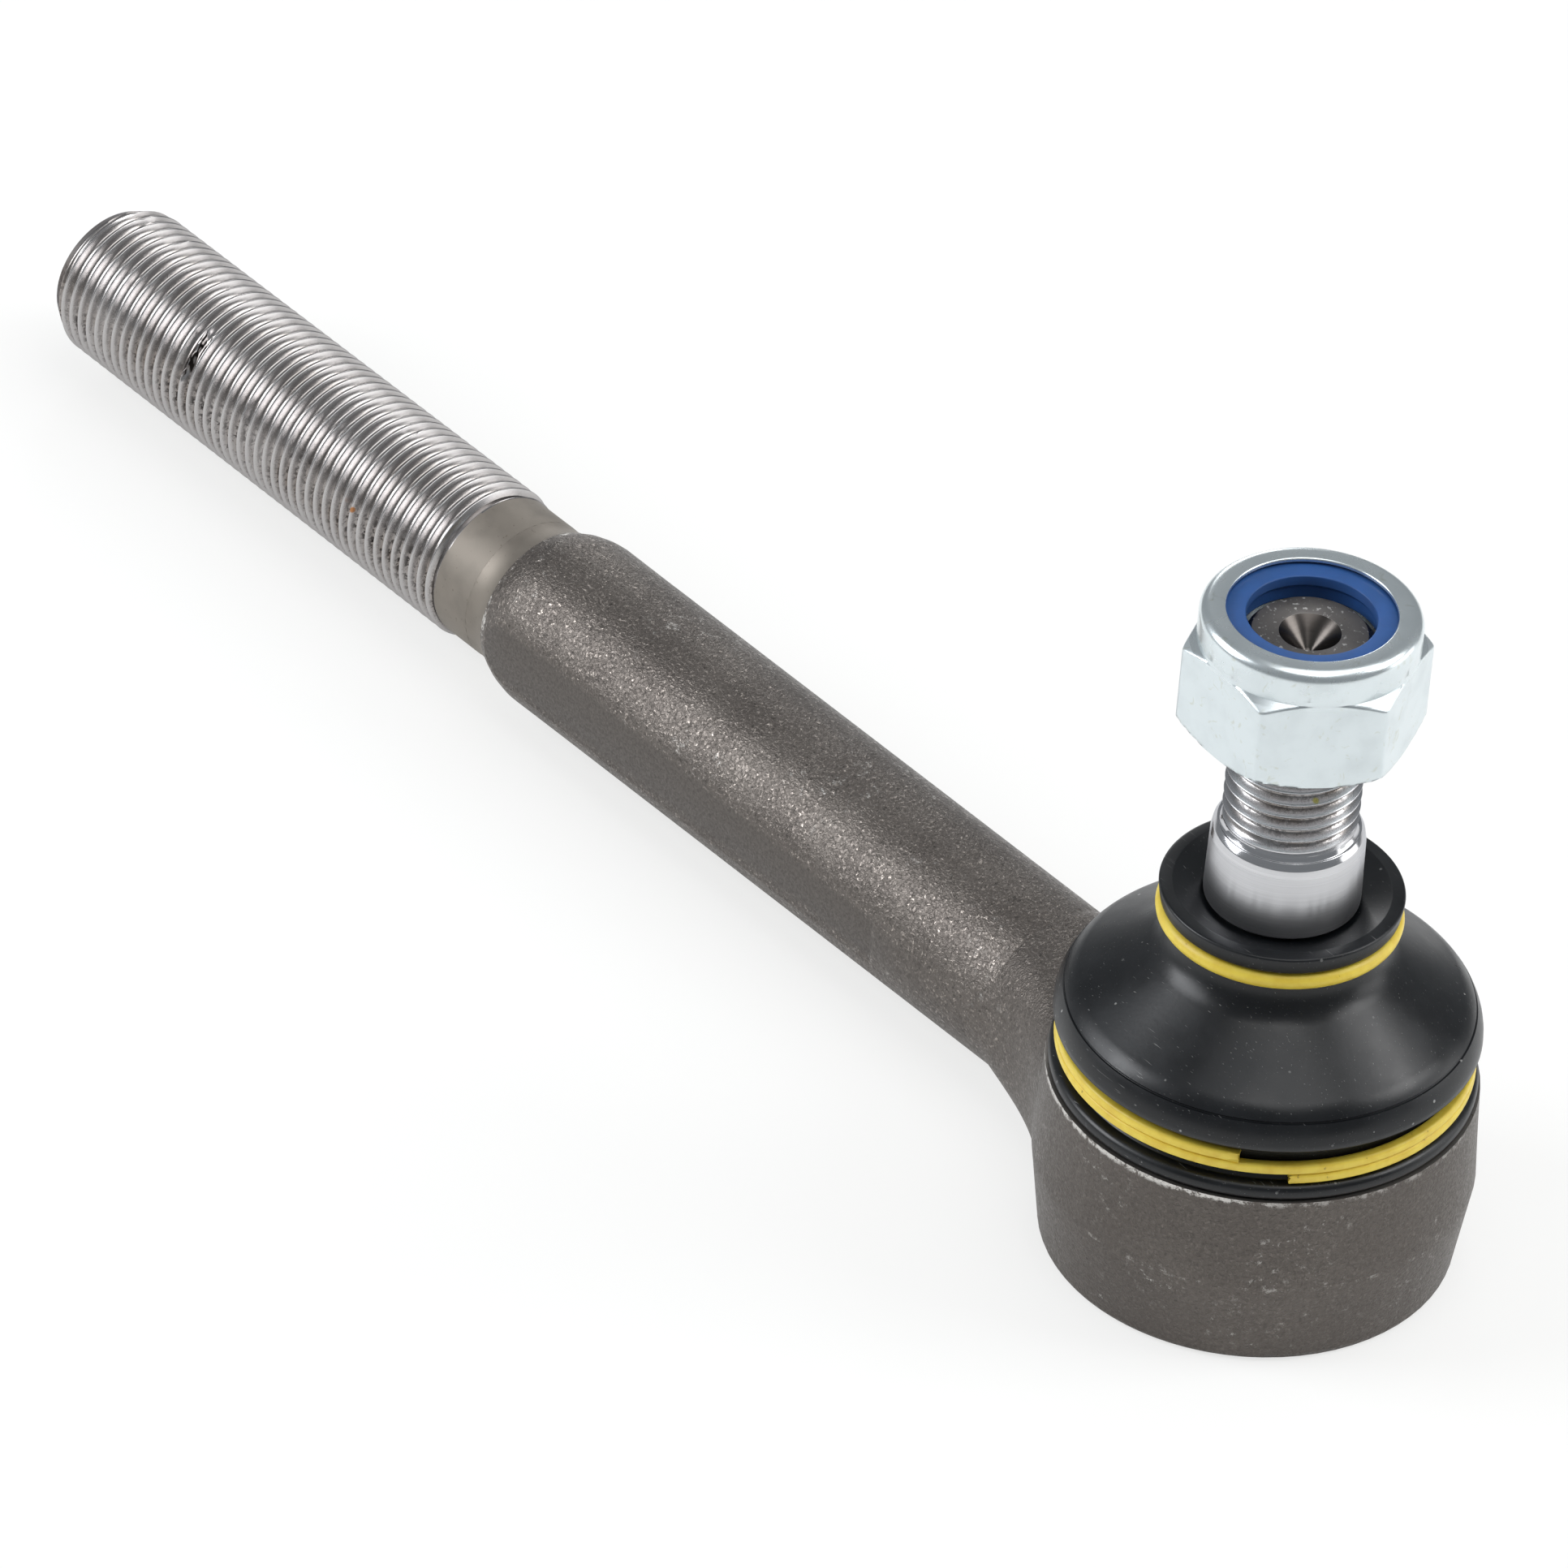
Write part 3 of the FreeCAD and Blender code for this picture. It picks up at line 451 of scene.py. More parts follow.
def blue_nylon():
    """Moulded polyamide: smooth and a little translucent, so that its edges look lighter."""
    base = colours().nylon
    material, add, shader, space = new_material(
        "moulded_polyamide", base, 0.0, 0.45, Subsurface_Weight=0.1, Subsurface_Scale=0.0005,
        Specular_IOR_Level=0.35)
    cloud = add("TexNoise", {"Scale": 1 / 1.8, "Detail": 3.0}, {"Vector": space})
    tone = lay_over(add, rgba(base), rgba("#2f5ca0"), cloud, 0.4, 0.7, 0.3)
    grain = add("TexNoise", {"Scale": 1 / 0.6}, {"Vector": space})
    skin = add("Bump", {"Distance": 0.006 * MM}, {"Height": grain})
    connect(shader, {"Base Color": tone, "Normal": skin})
    return material


def seat_acetal():
    """Moulded acetal: ivory and waxy, faintly clouded."""
    base = colours().acetal
    material, add, shader, space = new_material("natural_acetal", base, 0.0, 0.45)
    cloud = add("TexNoise", {"Scale": 1 / 3.0}, {"Vector": space})
    tone = lay_over(add, rgba(base), rgba(base, 0.88), cloud, 0.35, 0.7)
    connect(shader, {"Base Color": tone})
    return material


def pressed_plate():
    """Cold-rolled sheet, pressed: grey and oily, with rolling streaks."""
    base = colours().plate
    material, add, shader, space = new_material("pressed_sheet_steel", base, 0.9, 0.4)
    rolled = add("Mapping", {"Scale": (0.2, 2.5, 1.0)}, {"Vector": space})
    streaks = add("TexNoise", {"Scale": 1 / 0.8, "Detail": 4.0}, {"Vector": rolled})
    tone = lay_over(add, rgba(base), rgba(base, 0.6), streaks, 0.35, 0.7)
    lined = add("Bump", {"Distance": 0.008 * MM}, {"Height": streaks})
    connect(shader, {"Base Color": tone, "Normal": lined})
    return material


# Shapes


def arc_points(start, end, bend, count):
    """Points from start to end, without the end, on an arc. A positive bend turns left."""
    a, b = Vector(start), Vector(end)
    along = b - a
    left = Vector((-along.y, along.x)).normalized()
    reach = math.sqrt(max(bend * bend - (along.length / 2) ** 2, 0.0))
    centre = (a + b) / 2 + left * (reach if bend > 0 else -reach)
    first = math.atan2(a.y - centre.y, a.x - centre.x)
    last = math.atan2(b.y - centre.y, b.x - centre.x)
    sweep = (last - first) % TURN if bend > 0 else -((first - last) % TURN)
    points = []
    for i in range(count):
        angle = first + sweep * i / count
        points.append((centre.x + abs(bend) * math.cos(angle), centre.y + abs(bend) * math.sin(angle)))
    return points


def rounded(corners, roundness, count=4):
    """An outline with its inner corners rounded. A corner may carry its own radius."""
    nearly_straight = 1.5
    points = [corners[0][:2]]
    for before, corner, after in zip(corners, corners[1:], corners[2:]):
        here = Vector(corner[:2])
        towards, away = Vector(before[:2]) - here, Vector(after[:2]) - here
        size = corner[2] if len(corner) > 2 else roundness
        half = towards.angle(away) / 2
        run = min(size / math.tan(half), towards.length * 0.49, away.length * 0.49)
        bend = run * math.tan(half)
        if bend < WELD or half > nearly_straight:
            points.append(tuple(here))
            continue
        start = here + towards.normalized() * run
        end = here + away.normalized() * run
        turn = towards.x * away.y - towards.y * away.x
        points += arc_points(start, end, bend if turn < 0 else -bend, count)
        points.append(tuple(end))
    points.append(corners[-1][:2])
    return points


def spin_outline(bm, outline, segments):
    """Turns an outline of (radius, height) points about Z, closed at poles."""
    verts = [bm.verts.new((r, 0, z)) for r, z in outline]
    edges = [bm.edges.new(pair) for pair in zip(verts, verts[1:])]
    bmesh.ops.spin(bm, geom=verts + edges, cent=(0, 0, 0), axis=(0, 0, 1), dvec=(0, 0, 0),
                   angle=TURN, steps=segments, use_merge=True)
    bmesh.ops.remove_doubles(bm, verts=bm.verts, dist=WELD)


def slice_mesh(bm, place, normal, clear=False, weld=WELD):
    """Cuts a mesh along a plane. What lies beyond it goes if clear is set."""
    bmesh.ops.bisect_plane(bm, geom=bm.verts[:] + bm.edges[:] + bm.faces[:], dist=weld,
                           plane_co=place, plane_no=normal, clear_outer=clear)


def set_radius(v, wanted):
    """Moves a point straight in or out, seen along Z."""
    radius = math.hypot(v.co.x, v.co.y)
    v.co.x *= wanted / radius
    v.co.y *= wanted / radius


def boundary_at(bm, height):
    """The open edges of a mesh that lie at this height."""
    return [e for e in bm.edges if e.is_boundary
            and all(abs(v.co.z - height) < LEVEL for v in e.verts)]


def close_end(bm, height, rings):
    """Closes a tube's open end with rings of (radius, height). Radius 0 ends in a point."""
    edges = boundary_at(bm, height)
    for radius, z in rings:
        made = bmesh.ops.extrude_edge_only(bm, edges=edges)["geom"]
        verts = [g for g in made if isinstance(g, bmesh.types.BMVert)]
        for v in verts:
            flat = Vector((v.co.x, v.co.y))
            flat = flat.normalized() * radius
            v.co = (flat.x, flat.y, z)
        edges = [g for g in made if isinstance(g, bmesh.types.BMEdge)
                 and all(abs(v.co.z - z) < WELD for v in g.verts) and g.is_boundary]
        if radius == 0:
            bmesh.ops.pointmerge(bm, verts=verts, merge_co=(0, 0, z))


THREAD_SECTION = ((0.0, 0.0), (0.12, 0.03), (0.20, 0.14), (0.31, 0.48), (0.41, 0.84),
                  (0.44, 0.94), (0.465, 0.99), (0.50, 1.0), (0.535, 0.99), (0.56, 0.94),
                  (0.59, 0.84), (0.69, 0.48), (0.80, 0.14), (0.88, 0.03), (1.0, 0.0))


def screw_tube(bm, low, high, pitch, crest, root, steps, limits):
    """A right-hand thread around Z, open at low and high. limits(z) gives its least and greatest radius."""
    start = low - 2 * pitch
    turns = int(math.ceil((high - low) / pitch)) + 4
    verts = [bm.verts.new((root + (crest - root) * rise, 0, start + share * pitch))
             for share, rise in THREAD_SECTION]
    edges = [bm.edges.new(pair) for pair in zip(verts, verts[1:])]
    bmesh.ops.spin(bm, geom=verts + edges, cent=(0, 0, 0), axis=(0, 0, 1),
                   dvec=(0, 0, pitch / steps), angle=TURN, steps=steps, use_merge=False)
    one_turn = bm.verts[:] + bm.edges[:] + bm.faces[:]
    for i in range(1, turns):
        made = bmesh.ops.duplicate(bm, geom=one_turn)["geom"]
        bmesh.ops.translate(bm, vec=(0, 0, i * pitch),
                            verts=[g for g in made if isinstance(g, bmesh.types.BMVert)])
    bmesh.ops.remove_doubles(bm, verts=bm.verts, dist=LEVEL)
    for v in bm.verts:
        least, greatest = limits(v.co.z)
        set_radius(v, min(max(math.hypot(v.co.x, v.co.y), least), greatest))
    for height, side in ((low, -1), (high, 1)):
        slice_mesh(bm, (0, 0, height), (0, 0, side), True, WELD / 10)


def mark_thread(bm, root, crest):
    """Notes how high each point stands in its thread, for the looks."""
    layer = bm.verts.layers.float.new("thread_height")
    for v in bm.verts:
        rise = (math.hypot(v.co.x, v.co.y) - root) / (crest - root)
        v[layer] = min(max(rise, 0.0), 1.0)


# Each knock has its distance from the stud, its angle from the top towards the back, half its
# length along the rod, half its width in degrees and its depth. Lengths are in millimetres.
KNOCKS = ((168.4, -52.0, 0.6, 18.0, 0.6), (157.5, -61.0, 0.7, 6.0, 0.35),
          (188.2, 9.6, 0.5, 5.0, 0.2), (182.6, 12.7, 0.6, 4.0, 0.2), (181.8, -40.0, 0.5, 4.0, 0.2),
          (146.0, -30.0, 0.5, 4.0, 0.2), (139.0, 4.0, 0.5, 4.0, 0.2))


def knock_thread(bm, root, draw):
    """Presses the knocks into a thread that still stands on Z, and marks the deep one as cut."""
    layer = bm.verts.layers.float["thread_height"]
    for v in bm.verts:
        angle = math.degrees(math.atan2(v.co.y, v.co.x))
        for along, around, half_length, half_angle, depth in KNOCKS:
            across = (v.co.z / MM - along) / half_length
            aside = (angle - around) / half_angle
            if across * across + aside * aside >= 1.0:
                continue
            ragged = draw.uniform(0.6, 1.0) * depth * (1.0 - across * across) * MM
            set_radius(v, max(math.hypot(v.co.x, v.co.y) - ragged, root - 0.05 * MM))
            if depth > 0.5 and draw.random() < 0.55:
                v[layer] = -1.0


def swell_shell(bm, axis, shank, head, bend):
    """Adds the swelling that carries the round shank into the head. Its sections are ovals that
    widen along an arc of radius bend and grow squarer. Its inner end follows the head's wall."""
    start = math.sqrt((head + bend) ** 2 - (shank + bend) ** 2)
    finish = start * head / (head + bend)
    buried = head - 1.6 * MM
    squareness, fullness = 3.2, 0.25 * MM
    draft_over, draft_under = 0.03, 0.075
    sections, around = 26, 96
    rings = []
    for i in range(sections + 1):
        share = i / sections
        run = (start - finish) * share
        width = shank + bend - math.sqrt(bend ** 2 - run ** 2)
        rise = shank + fullness * share
        power = 2.0 / (2.0 + squareness * share)
        ring = []
        for j in range(around):
            angle = TURN * (j + 0.5) / around
            c, s = math.cos(angle), math.sin(angle)
            z = math.copysign(abs(s) ** power, s) * rise
            draft = (draft_over if z > 0 else draft_under) * share * abs(z) / rise
            y = math.copysign(abs(c) ** power, c) * width * (1.0 - draft)
            wall = math.sqrt(max(buried ** 2 - y ** 2, 0.0))
            ring.append(bm.verts.new((-max(start - run, wall), y, axis + z)))
        rings.append(ring)
    faces = []
    for near, far in zip(rings, rings[1:]):
        for j in range(around):
            k = (j + 1) % around
            faces.append(bm.faces.new((near[j], near[k], far[k], far[j])))
    for ring in (rings[0], rings[-1]):
        for j in range(around // 2 - 1):
            faces.append(bm.faces.new((ring[j], ring[j + 1], ring[-2 - j], ring[-1 - j])))
    bmesh.ops.recalc_face_normals(bm, faces=faces)


def new_piece(name, bm, materials, body, replaced, sharp=30.0, choose=None):
    """Makes the piece from its bmesh and ties it to the frame. choose(face) picks a material."""
    bm.normal_update()
    if choose is not None:
        for face in bm.faces:
            face.material_index = choose(face)
    mesh = bpy.data.meshes.new(name)
    bm.to_mesh(mesh)
    bm.free()
    for material in materials:
        mesh.materials.append(material)
    mesh.shade_smooth()
    mesh.set_sharp_from_angle(angle=math.radians(sharp))
    piece = bpy.data.objects.new(name, mesh)
    bpy.context.scene.collection.objects.link(piece)
    if body:
        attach(piece, body)
    if replaced:
        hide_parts(replaced)
    return piece


def outward(bm):
    """Turns all faces of a piece outward."""
    bmesh.ops.recalc_face_normals(bm, faces=bm.faces)


# Operators, one for each piece or group of like pieces


class TIEROD_OT_forging(bpy.types.Operator):
    """Make the forged rod and head from a copy of the CAD solid"""

    bl_idname = "tie_rod.forging"
    bl_label = "Forged Rod and Head"

    def execute(self, context):
        s = sizes()
        # Neck and thread are made apart, so the forging ends just past its turned cone.
        cut, cone = s.neck_end + 0.2 * MM, 115.4 * MM
        face, bore, base = 21.15 * MM, 17.0 * MM, 0.03 * MM
        bm = bmesh.new()
        bm.from_mesh(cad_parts["rod_housing"].data)
        bmesh.ops.remove_doubles(bm, verts=bm.verts, dist=10 * WELD)
        slice_mesh(bm, (-cut, 0, 0), (-1, 0, 0), True)
        bmesh.ops.holes_fill(bm, edges=[e for e in bm.edges if e.is_boundary], sides=0)
        # Loops near the head's edges keep the shading of its tall side even.
        for height in (0.9 * MM, 5.0 * MM, 15.5 * MM, 20.2 * MM):
            slice_mesh(bm, (0, 0, height), (0, 0, 1))
        bmesh.ops.triangulate(bm, faces=[f for f in bm.faces if len(f.verts) > 4])
        swell_shell(bm, s.rod_axis_height, s.shank, s.head_skin, s.swell)

        def choose(polygon):
            middle = polygon.calc_center_median()
            across = math.hypot(middle.x, middle.y)
            if middle.x < -cone:
                return 1
            bare = middle.z > face or across < bore or middle.z < base
            return 2 if bare else 0

        materials = [
            forged_steel(),
            turned_steel("turned_cone_steel", colours().neck, 0.2, "X", 0.5, 0.7),
            turned_steel("turned_face_steel", colours().machined, 0.2, "Z"),
        ]
        new_piece("forged_rod_and_head", bm, materials, "rod", "rod_housing",
                  15.0, choose)
        return {"FINISHED"}


class TIEROD_OT_rod_thread(bpy.types.Operator):
    """Make the rolled thread and the plain neck of the rod"""

    bl_idname = "tie_rod.rod_thread"
    bl_label = "Rod Thread"

    def execute(self, context):
        s = sizes()
        low, high = s.neck_end, s.rod_end
        chamfer = (s.rod_crest - s.rod_end_radius) * 1.85
        run_in, pole = 0.6 * MM, 4.0 * MM
        pitch = s.thread_pitch

        def limits(z):
            least, greatest = 0.0, s.rod_crest
            if z < s.thread_start + pitch:
                share = min((s.thread_start + pitch - z) / pitch, 1.0)
                least = s.rod_root + (s.neck - s.rod_root) * share
            if z < s.thread_start + run_in:
                share = min((s.thread_start + run_in - z) / run_in, 1.0)
                greatest = s.rod_crest + (s.neck - s.rod_crest) * share
            if z > high - chamfer:
                share = (z - high + chamfer) / chamfer
                greatest = s.rod_crest + (s.rod_end_radius - s.rod_crest) * share
            return least, max(greatest, least)

        bm = bmesh.new()
        screw_tube(bm, low, high, pitch, s.rod_crest, s.rod_root, 88, limits)
        close_end(bm, high, [(s.rod_end_radius - 0.4 * MM, high), (pole, high), (0, high)])
        close_end(bm, low, [(pole, low), (0, low)])
        mark_thread(bm, s.rod_root, s.rod_crest)
        knock_thread(bm, s.rod_root, random.Random(s.seed))
        lay_down = Matrix.Translation((0, 0, s.rod_axis_height)) @ Matrix.Rotation(-math.pi / 2, 4, "Y")
        bmesh.ops.transform(bm, matrix=lay_down, verts=bm.verts)
        outward(bm)

        def choose(face):
            middle = face.calc_center_median()
            if middle.x > -s.thread_start:
                return 1
            return 2 if middle.x < 0.05 * MM - high else 0

        materials = [
            rolled_thread_steel("rolled_rod_thread", colours().thread, 1.0, "#736961",
                                17.0, (-138.4, -8.4, 12.9), "#b0702c"),
            turned_steel("turned_neck_steel", colours().neck, 0.2, "X", 0.56, 0.6),
            turned_steel("sawn_end_steel", colours().machined, 0.3, "X"),
        ]
        new_piece("rolled_rod_thread", bm, materials, "rod", "", 58.0, choose)
        return {"FINISHED"}


class TIEROD_OT_stud(bpy.types.Operator):
    """Make the ball stud with its ground cone, relief and thread"""

    bl_idname = "tie_rod.stud"
    bl_label = "Ball Stud"

    def execute(self, context):
        s = sizes()
        centre, ball, neck = s.ball_height, s.ball, s.stud_neck
        flat = ball * 0.3
        thread_low, tip = s.stud_thread_start, s.stud_tip
        relief, shoulder = 6.85 * MM, 51.2 * MM
        run_in = 1.4 * MM
        bm = bmesh.new()
        corners = [(0, centre - math.sqrt(ball ** 2 - flat ** 2))]
        corners += arc_points((flat, corners[0][1]), (ball, centre), ball, 14)
        corners += arc_points((ball, centre), (neck, centre + math.sqrt(ball ** 2 - neck ** 2)),
                              ball, 12)
        corners += [(neck, centre + math.sqrt(ball ** 2 - neck ** 2))]
        corners += arc_points((neck, 42.9 * MM), (8.0 * MM, 43.9 * MM), -1.3 * MM, 10)
        corners += rounded([(8.0 * MM, 43.9 * MM), (8.04 * MM, 44.4 * MM),
                            (7.9 * MM, shoulder, 0.12 * MM), (7.72 * MM, 52.1 * MM, 0.6 * MM),
                            (7.3 * MM, 52.75 * MM, 0.1 * MM), (7.12 * MM, 52.72 * MM, 0.1 * MM),
                            (relief, thread_low)], 0.2 * MM)
        spin_outline(bm, corners, 96)
        chamfer = (s.stud_crest - s.stud_tip_radius) * 1.2

        def limits(z):
            least, greatest = 0.0, s.stud_crest
            if z < thread_low + run_in:
                share = min(max((z - thread_low) / run_in, 0.0), 1.0)
                greatest = relief + (s.stud_crest - relief) * share
                least = min(s.stud_root + (relief - s.stud_root) * (1 - share), greatest)
            if z > tip - chamfer:
                share = (z - tip + chamfer) / chamfer
                greatest = s.stud_crest + (s.stud_tip_radius - s.stud_crest) * share
            return least, max(greatest, least)

        threaded = bmesh.new()
        screw_tube(threaded, thread_low, tip, s.thread_pitch, s.stud_crest, s.stud_root, 96, limits)
        close_end(threaded, tip, [
            (s.stud_tip_radius - 0.3 * MM, tip), (s.drill + 0.12 * MM, tip),
            (s.drill, tip - 0.08 * MM),
            (s.drill * 0.6, tip - s.drill_depth * 0.4), (s.drill * 0.2, tip - s.drill_depth * 0.8),
            (0, tip - s.drill_depth)])
        joined = bpy.data.meshes.new("stud_thread_part")
        threaded.to_mesh(joined)
        threaded.free()
        bm.from_mesh(joined)
        bpy.data.meshes.remove(joined)
        bmesh.ops.remove_doubles(bm, verts=bm.verts, dist=10 * LEVEL)
        mark_thread(bm, s.stud_root, s.stud_crest)
        outward(bm)

        def choose(face):
            middle = face.calc_center_median()
            if middle.z < thread_low:
                return 4 if middle.z > shoulder else 0
            if middle.z > tip - 0.05 * MM:
                return 2
            return 3 if math.hypot(middle.x, middle.y) < s.drill else 1

        materials = [
            ground_steel("ground_polished_steel", colours().ground),
            rolled_thread_steel("rolled_stud_thread", linear("#c6c6c8"), 0.5, "#7d746d", 1000.0,
                                (6.0, -2.7, 60.1), "#a8a34e"),
            turned_steel("turned_tip_steel", colours().tip, 0.25, "Z", 0.5, 0.8, 0.6),
            # The drilled cone has a darker base than the tip face, as painted shade in the hole.
            ground_steel("drilled_centre_painted_shade", linear("#504c49"), 0.26),
            ground_steel("burnished_shoulder_steel", colours().ground, 0.14),
        ]
        new_piece("ground_ball_stud", bm, materials, "stud", "ball_stud", 50.0, choose)
        return {"FINISHED"}


class TIEROD_OT_boot(bpy.types.Operator):
    """Make the moulded rubber boot, which bends between its foot and the upper ring"""

    bl_idname = "tie_rod.boot"
    bl_label = "Dust Boot"

    def execute(self, context):
        s = sizes()
        foot = s.boot_foot
        sole = foot + 0.02 * MM
        lip_top = foot + 1.75 * MM
        groove_top = lip_top + 3.7 * MM
        bend = 5.2 * MM
        slope = math.radians(33)
        wall = s.boot_wall
        crown = (s.boot_bulge - bend + bend * math.sin(slope),
                 s.boot_bulge_height + bend * math.cos(slope))
        inner = (s.boot_bulge - bend + (bend - wall) * math.sin(slope),
                 s.boot_bulge_height + (bend - wall) * math.cos(slope))
        foot_of_waist = crown[1] + (crown[0] - s.boot_waist) * math.tan(slope)
        spigot = 18.68 * MM
        seal = s.stud_neck + 0.03 * MM
        outside = rounded([
            (spigot, sole), (s.boot_lip, sole, 0.5 * MM), (s.boot_lip, lip_top - 0.2 * MM, 0.8 * MM),
            (s.boot_groove + 0.3 * MM, lip_top, 0.2 * MM), (s.boot_groove, lip_top + 0.4 * MM),
            (s.boot_groove, groove_top, 0.3 * MM),
            (s.boot_bulge - 0.9 * MM, groove_top + 0.03 * MM, 0.4 * MM),
            (s.boot_bulge - 0.1 * MM, groove_top + 0.8 * MM, 0.6 * MM),
            (s.boot_bulge, s.boot_bulge_height)], 0.4 * MM)
        # The halves of the mould leave a fine line on the shoulder of the bulge.
        middle = s.boot_bulge - bend
        for degrees, inset in ((0, 0), (7, 0), (14, 0), (21, 0), (28, 0), (32.2, 0),
                               (33.4, 0.16), (34.4, 0.16), (35.6, 0), (38.5, 0)):
            around = math.radians(degrees)
            reach = bend - inset * MM
            outside.append((middle + reach * math.cos(around),
                            s.boot_bulge_height + reach * math.sin(around)))
        last = outside.pop()
        outside += arc_points(last, crown, bend, 14)
        outside += rounded([
            crown, (s.boot_waist, foot_of_waist, 5.5 * MM), (s.boot_waist, 42.6 * MM, 0.3 * MM),
            (s.boot_flange - 0.3 * MM, 42.65 * MM, 0.3 * MM),
            (s.boot_flange, s.boot_top, 0.3 * MM),
            (s.boot_flange - 1.45 * MM, s.boot_top, 0.4 * MM),
            (seal + 0.6 * MM, s.boot_top - 1.35 * MM, 0.6 * MM), (seal, s.boot_top - 1.6 * MM),
            (seal, 41.0 * MM)], 0.3 * MM, 5)
        # Under the waist the inside is steeper, so that it clears the tilted neck.
        throat = s.boot_waist + 0.65 * MM
        inside = [(seal + wall / 2, 40.8 * MM),
                  (throat, inner[1] + (inner[0] - throat) * math.tan(slope))]
        inside += arc_points(inner, (s.boot_bulge - wall, s.boot_bulge_height), -(bend - wall), 10)
        inside += [(s.boot_bulge - wall, s.boot_bulge_height), (spigot, 26.9 * MM), (spigot, sole)]
        bm = bmesh.new()
        spin_outline(bm, outside + inside, 144)
        outward(bm)
        boot = new_piece("moulded_dust_boot", bm, [moulded_rubber()], "", "dust_boot",
                         50.0)
        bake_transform(boot, "boot", "collar", start=(0, 0, 0.0285), end=(0, 0, 0.0400))
        return {"FINISHED"}


class TIEROD_OT_rings(bpy.types.Operator):
    """Make the round upper ring and the flat-wire lower ring"""

    bl_idname = "tie_rod.rings"
    bl_label = "Boot Rings"

    def execute(self, context):
        s = sizes()
        paint = ring_paint()
        bm = bmesh.new()
        middle = s.boot_waist + 0.03 * MM + s.wire
        circle = [(middle + s.wire * math.cos(TURN * i / 16),
                   s.wire_height + s.wire * math.sin(TURN * i / 16)) for i in range(17)]
        spin_outline(bm, circle, 120)
        outward(bm)
        new_piece("painted_upper_ring", bm, [paint], "collar", "upper_clamp_ring", 60.0)

        bm = bmesh.new()
        edge = 0.34 * MM
        low, high = s.band_bottom, s.band_bottom + s.band_height
        near, far = s.band_inner, s.band_inner + s.band_thickness
        section = rounded([((near + far) / 2, low), (far, low), (far, high), (near, high),
                           (near, low), ((near + far) / 2, low)], edge, 4)[:-1]
        verts = [bm.verts.new((r, 0, z)) for r, z in section]
        face = bm.faces.new(verts)
        steps = 240
        turns = 1.96
        first = math.radians(-34.9)
        bmesh.ops.rotate(bm, verts=verts, cent=(0, 0, 0), matrix=Matrix.Rotation(first, 3, "Z"))
        bmesh.ops.spin(bm, geom=verts + list(face.edges) + [face], cent=(0, 0, 0),
                       axis=(0, 0, 1), dvec=(0, 0, s.band_pitch * turns / steps),
                       angle=TURN * turns, steps=steps, use_merge=False)
        bmesh.ops.remove_doubles(bm, verts=bm.verts, dist=WELD)
        # The shears leave both ends of the wire a little ragged.
        sheared, ragged = 0.004, 0.16 * MM
        random.seed(s.seed)
        last = first + TURN * turns
        for v in bm.verts:
            angle = math.atan2(v.co.y, v.co.x)
            for target in (first, last):
                off = (angle - target + math.pi) % TURN - math.pi
                if abs(off) < sheared:
                    v.co += Vector((random.uniform(-1, 1), random.uniform(-1, 1), 0)) * ragged
        outward(bm)
        new_piece("painted_lower_ring", bm, [paint], "rod", "lower_clamp_ring", 40.0)
        return {"FINISHED"}


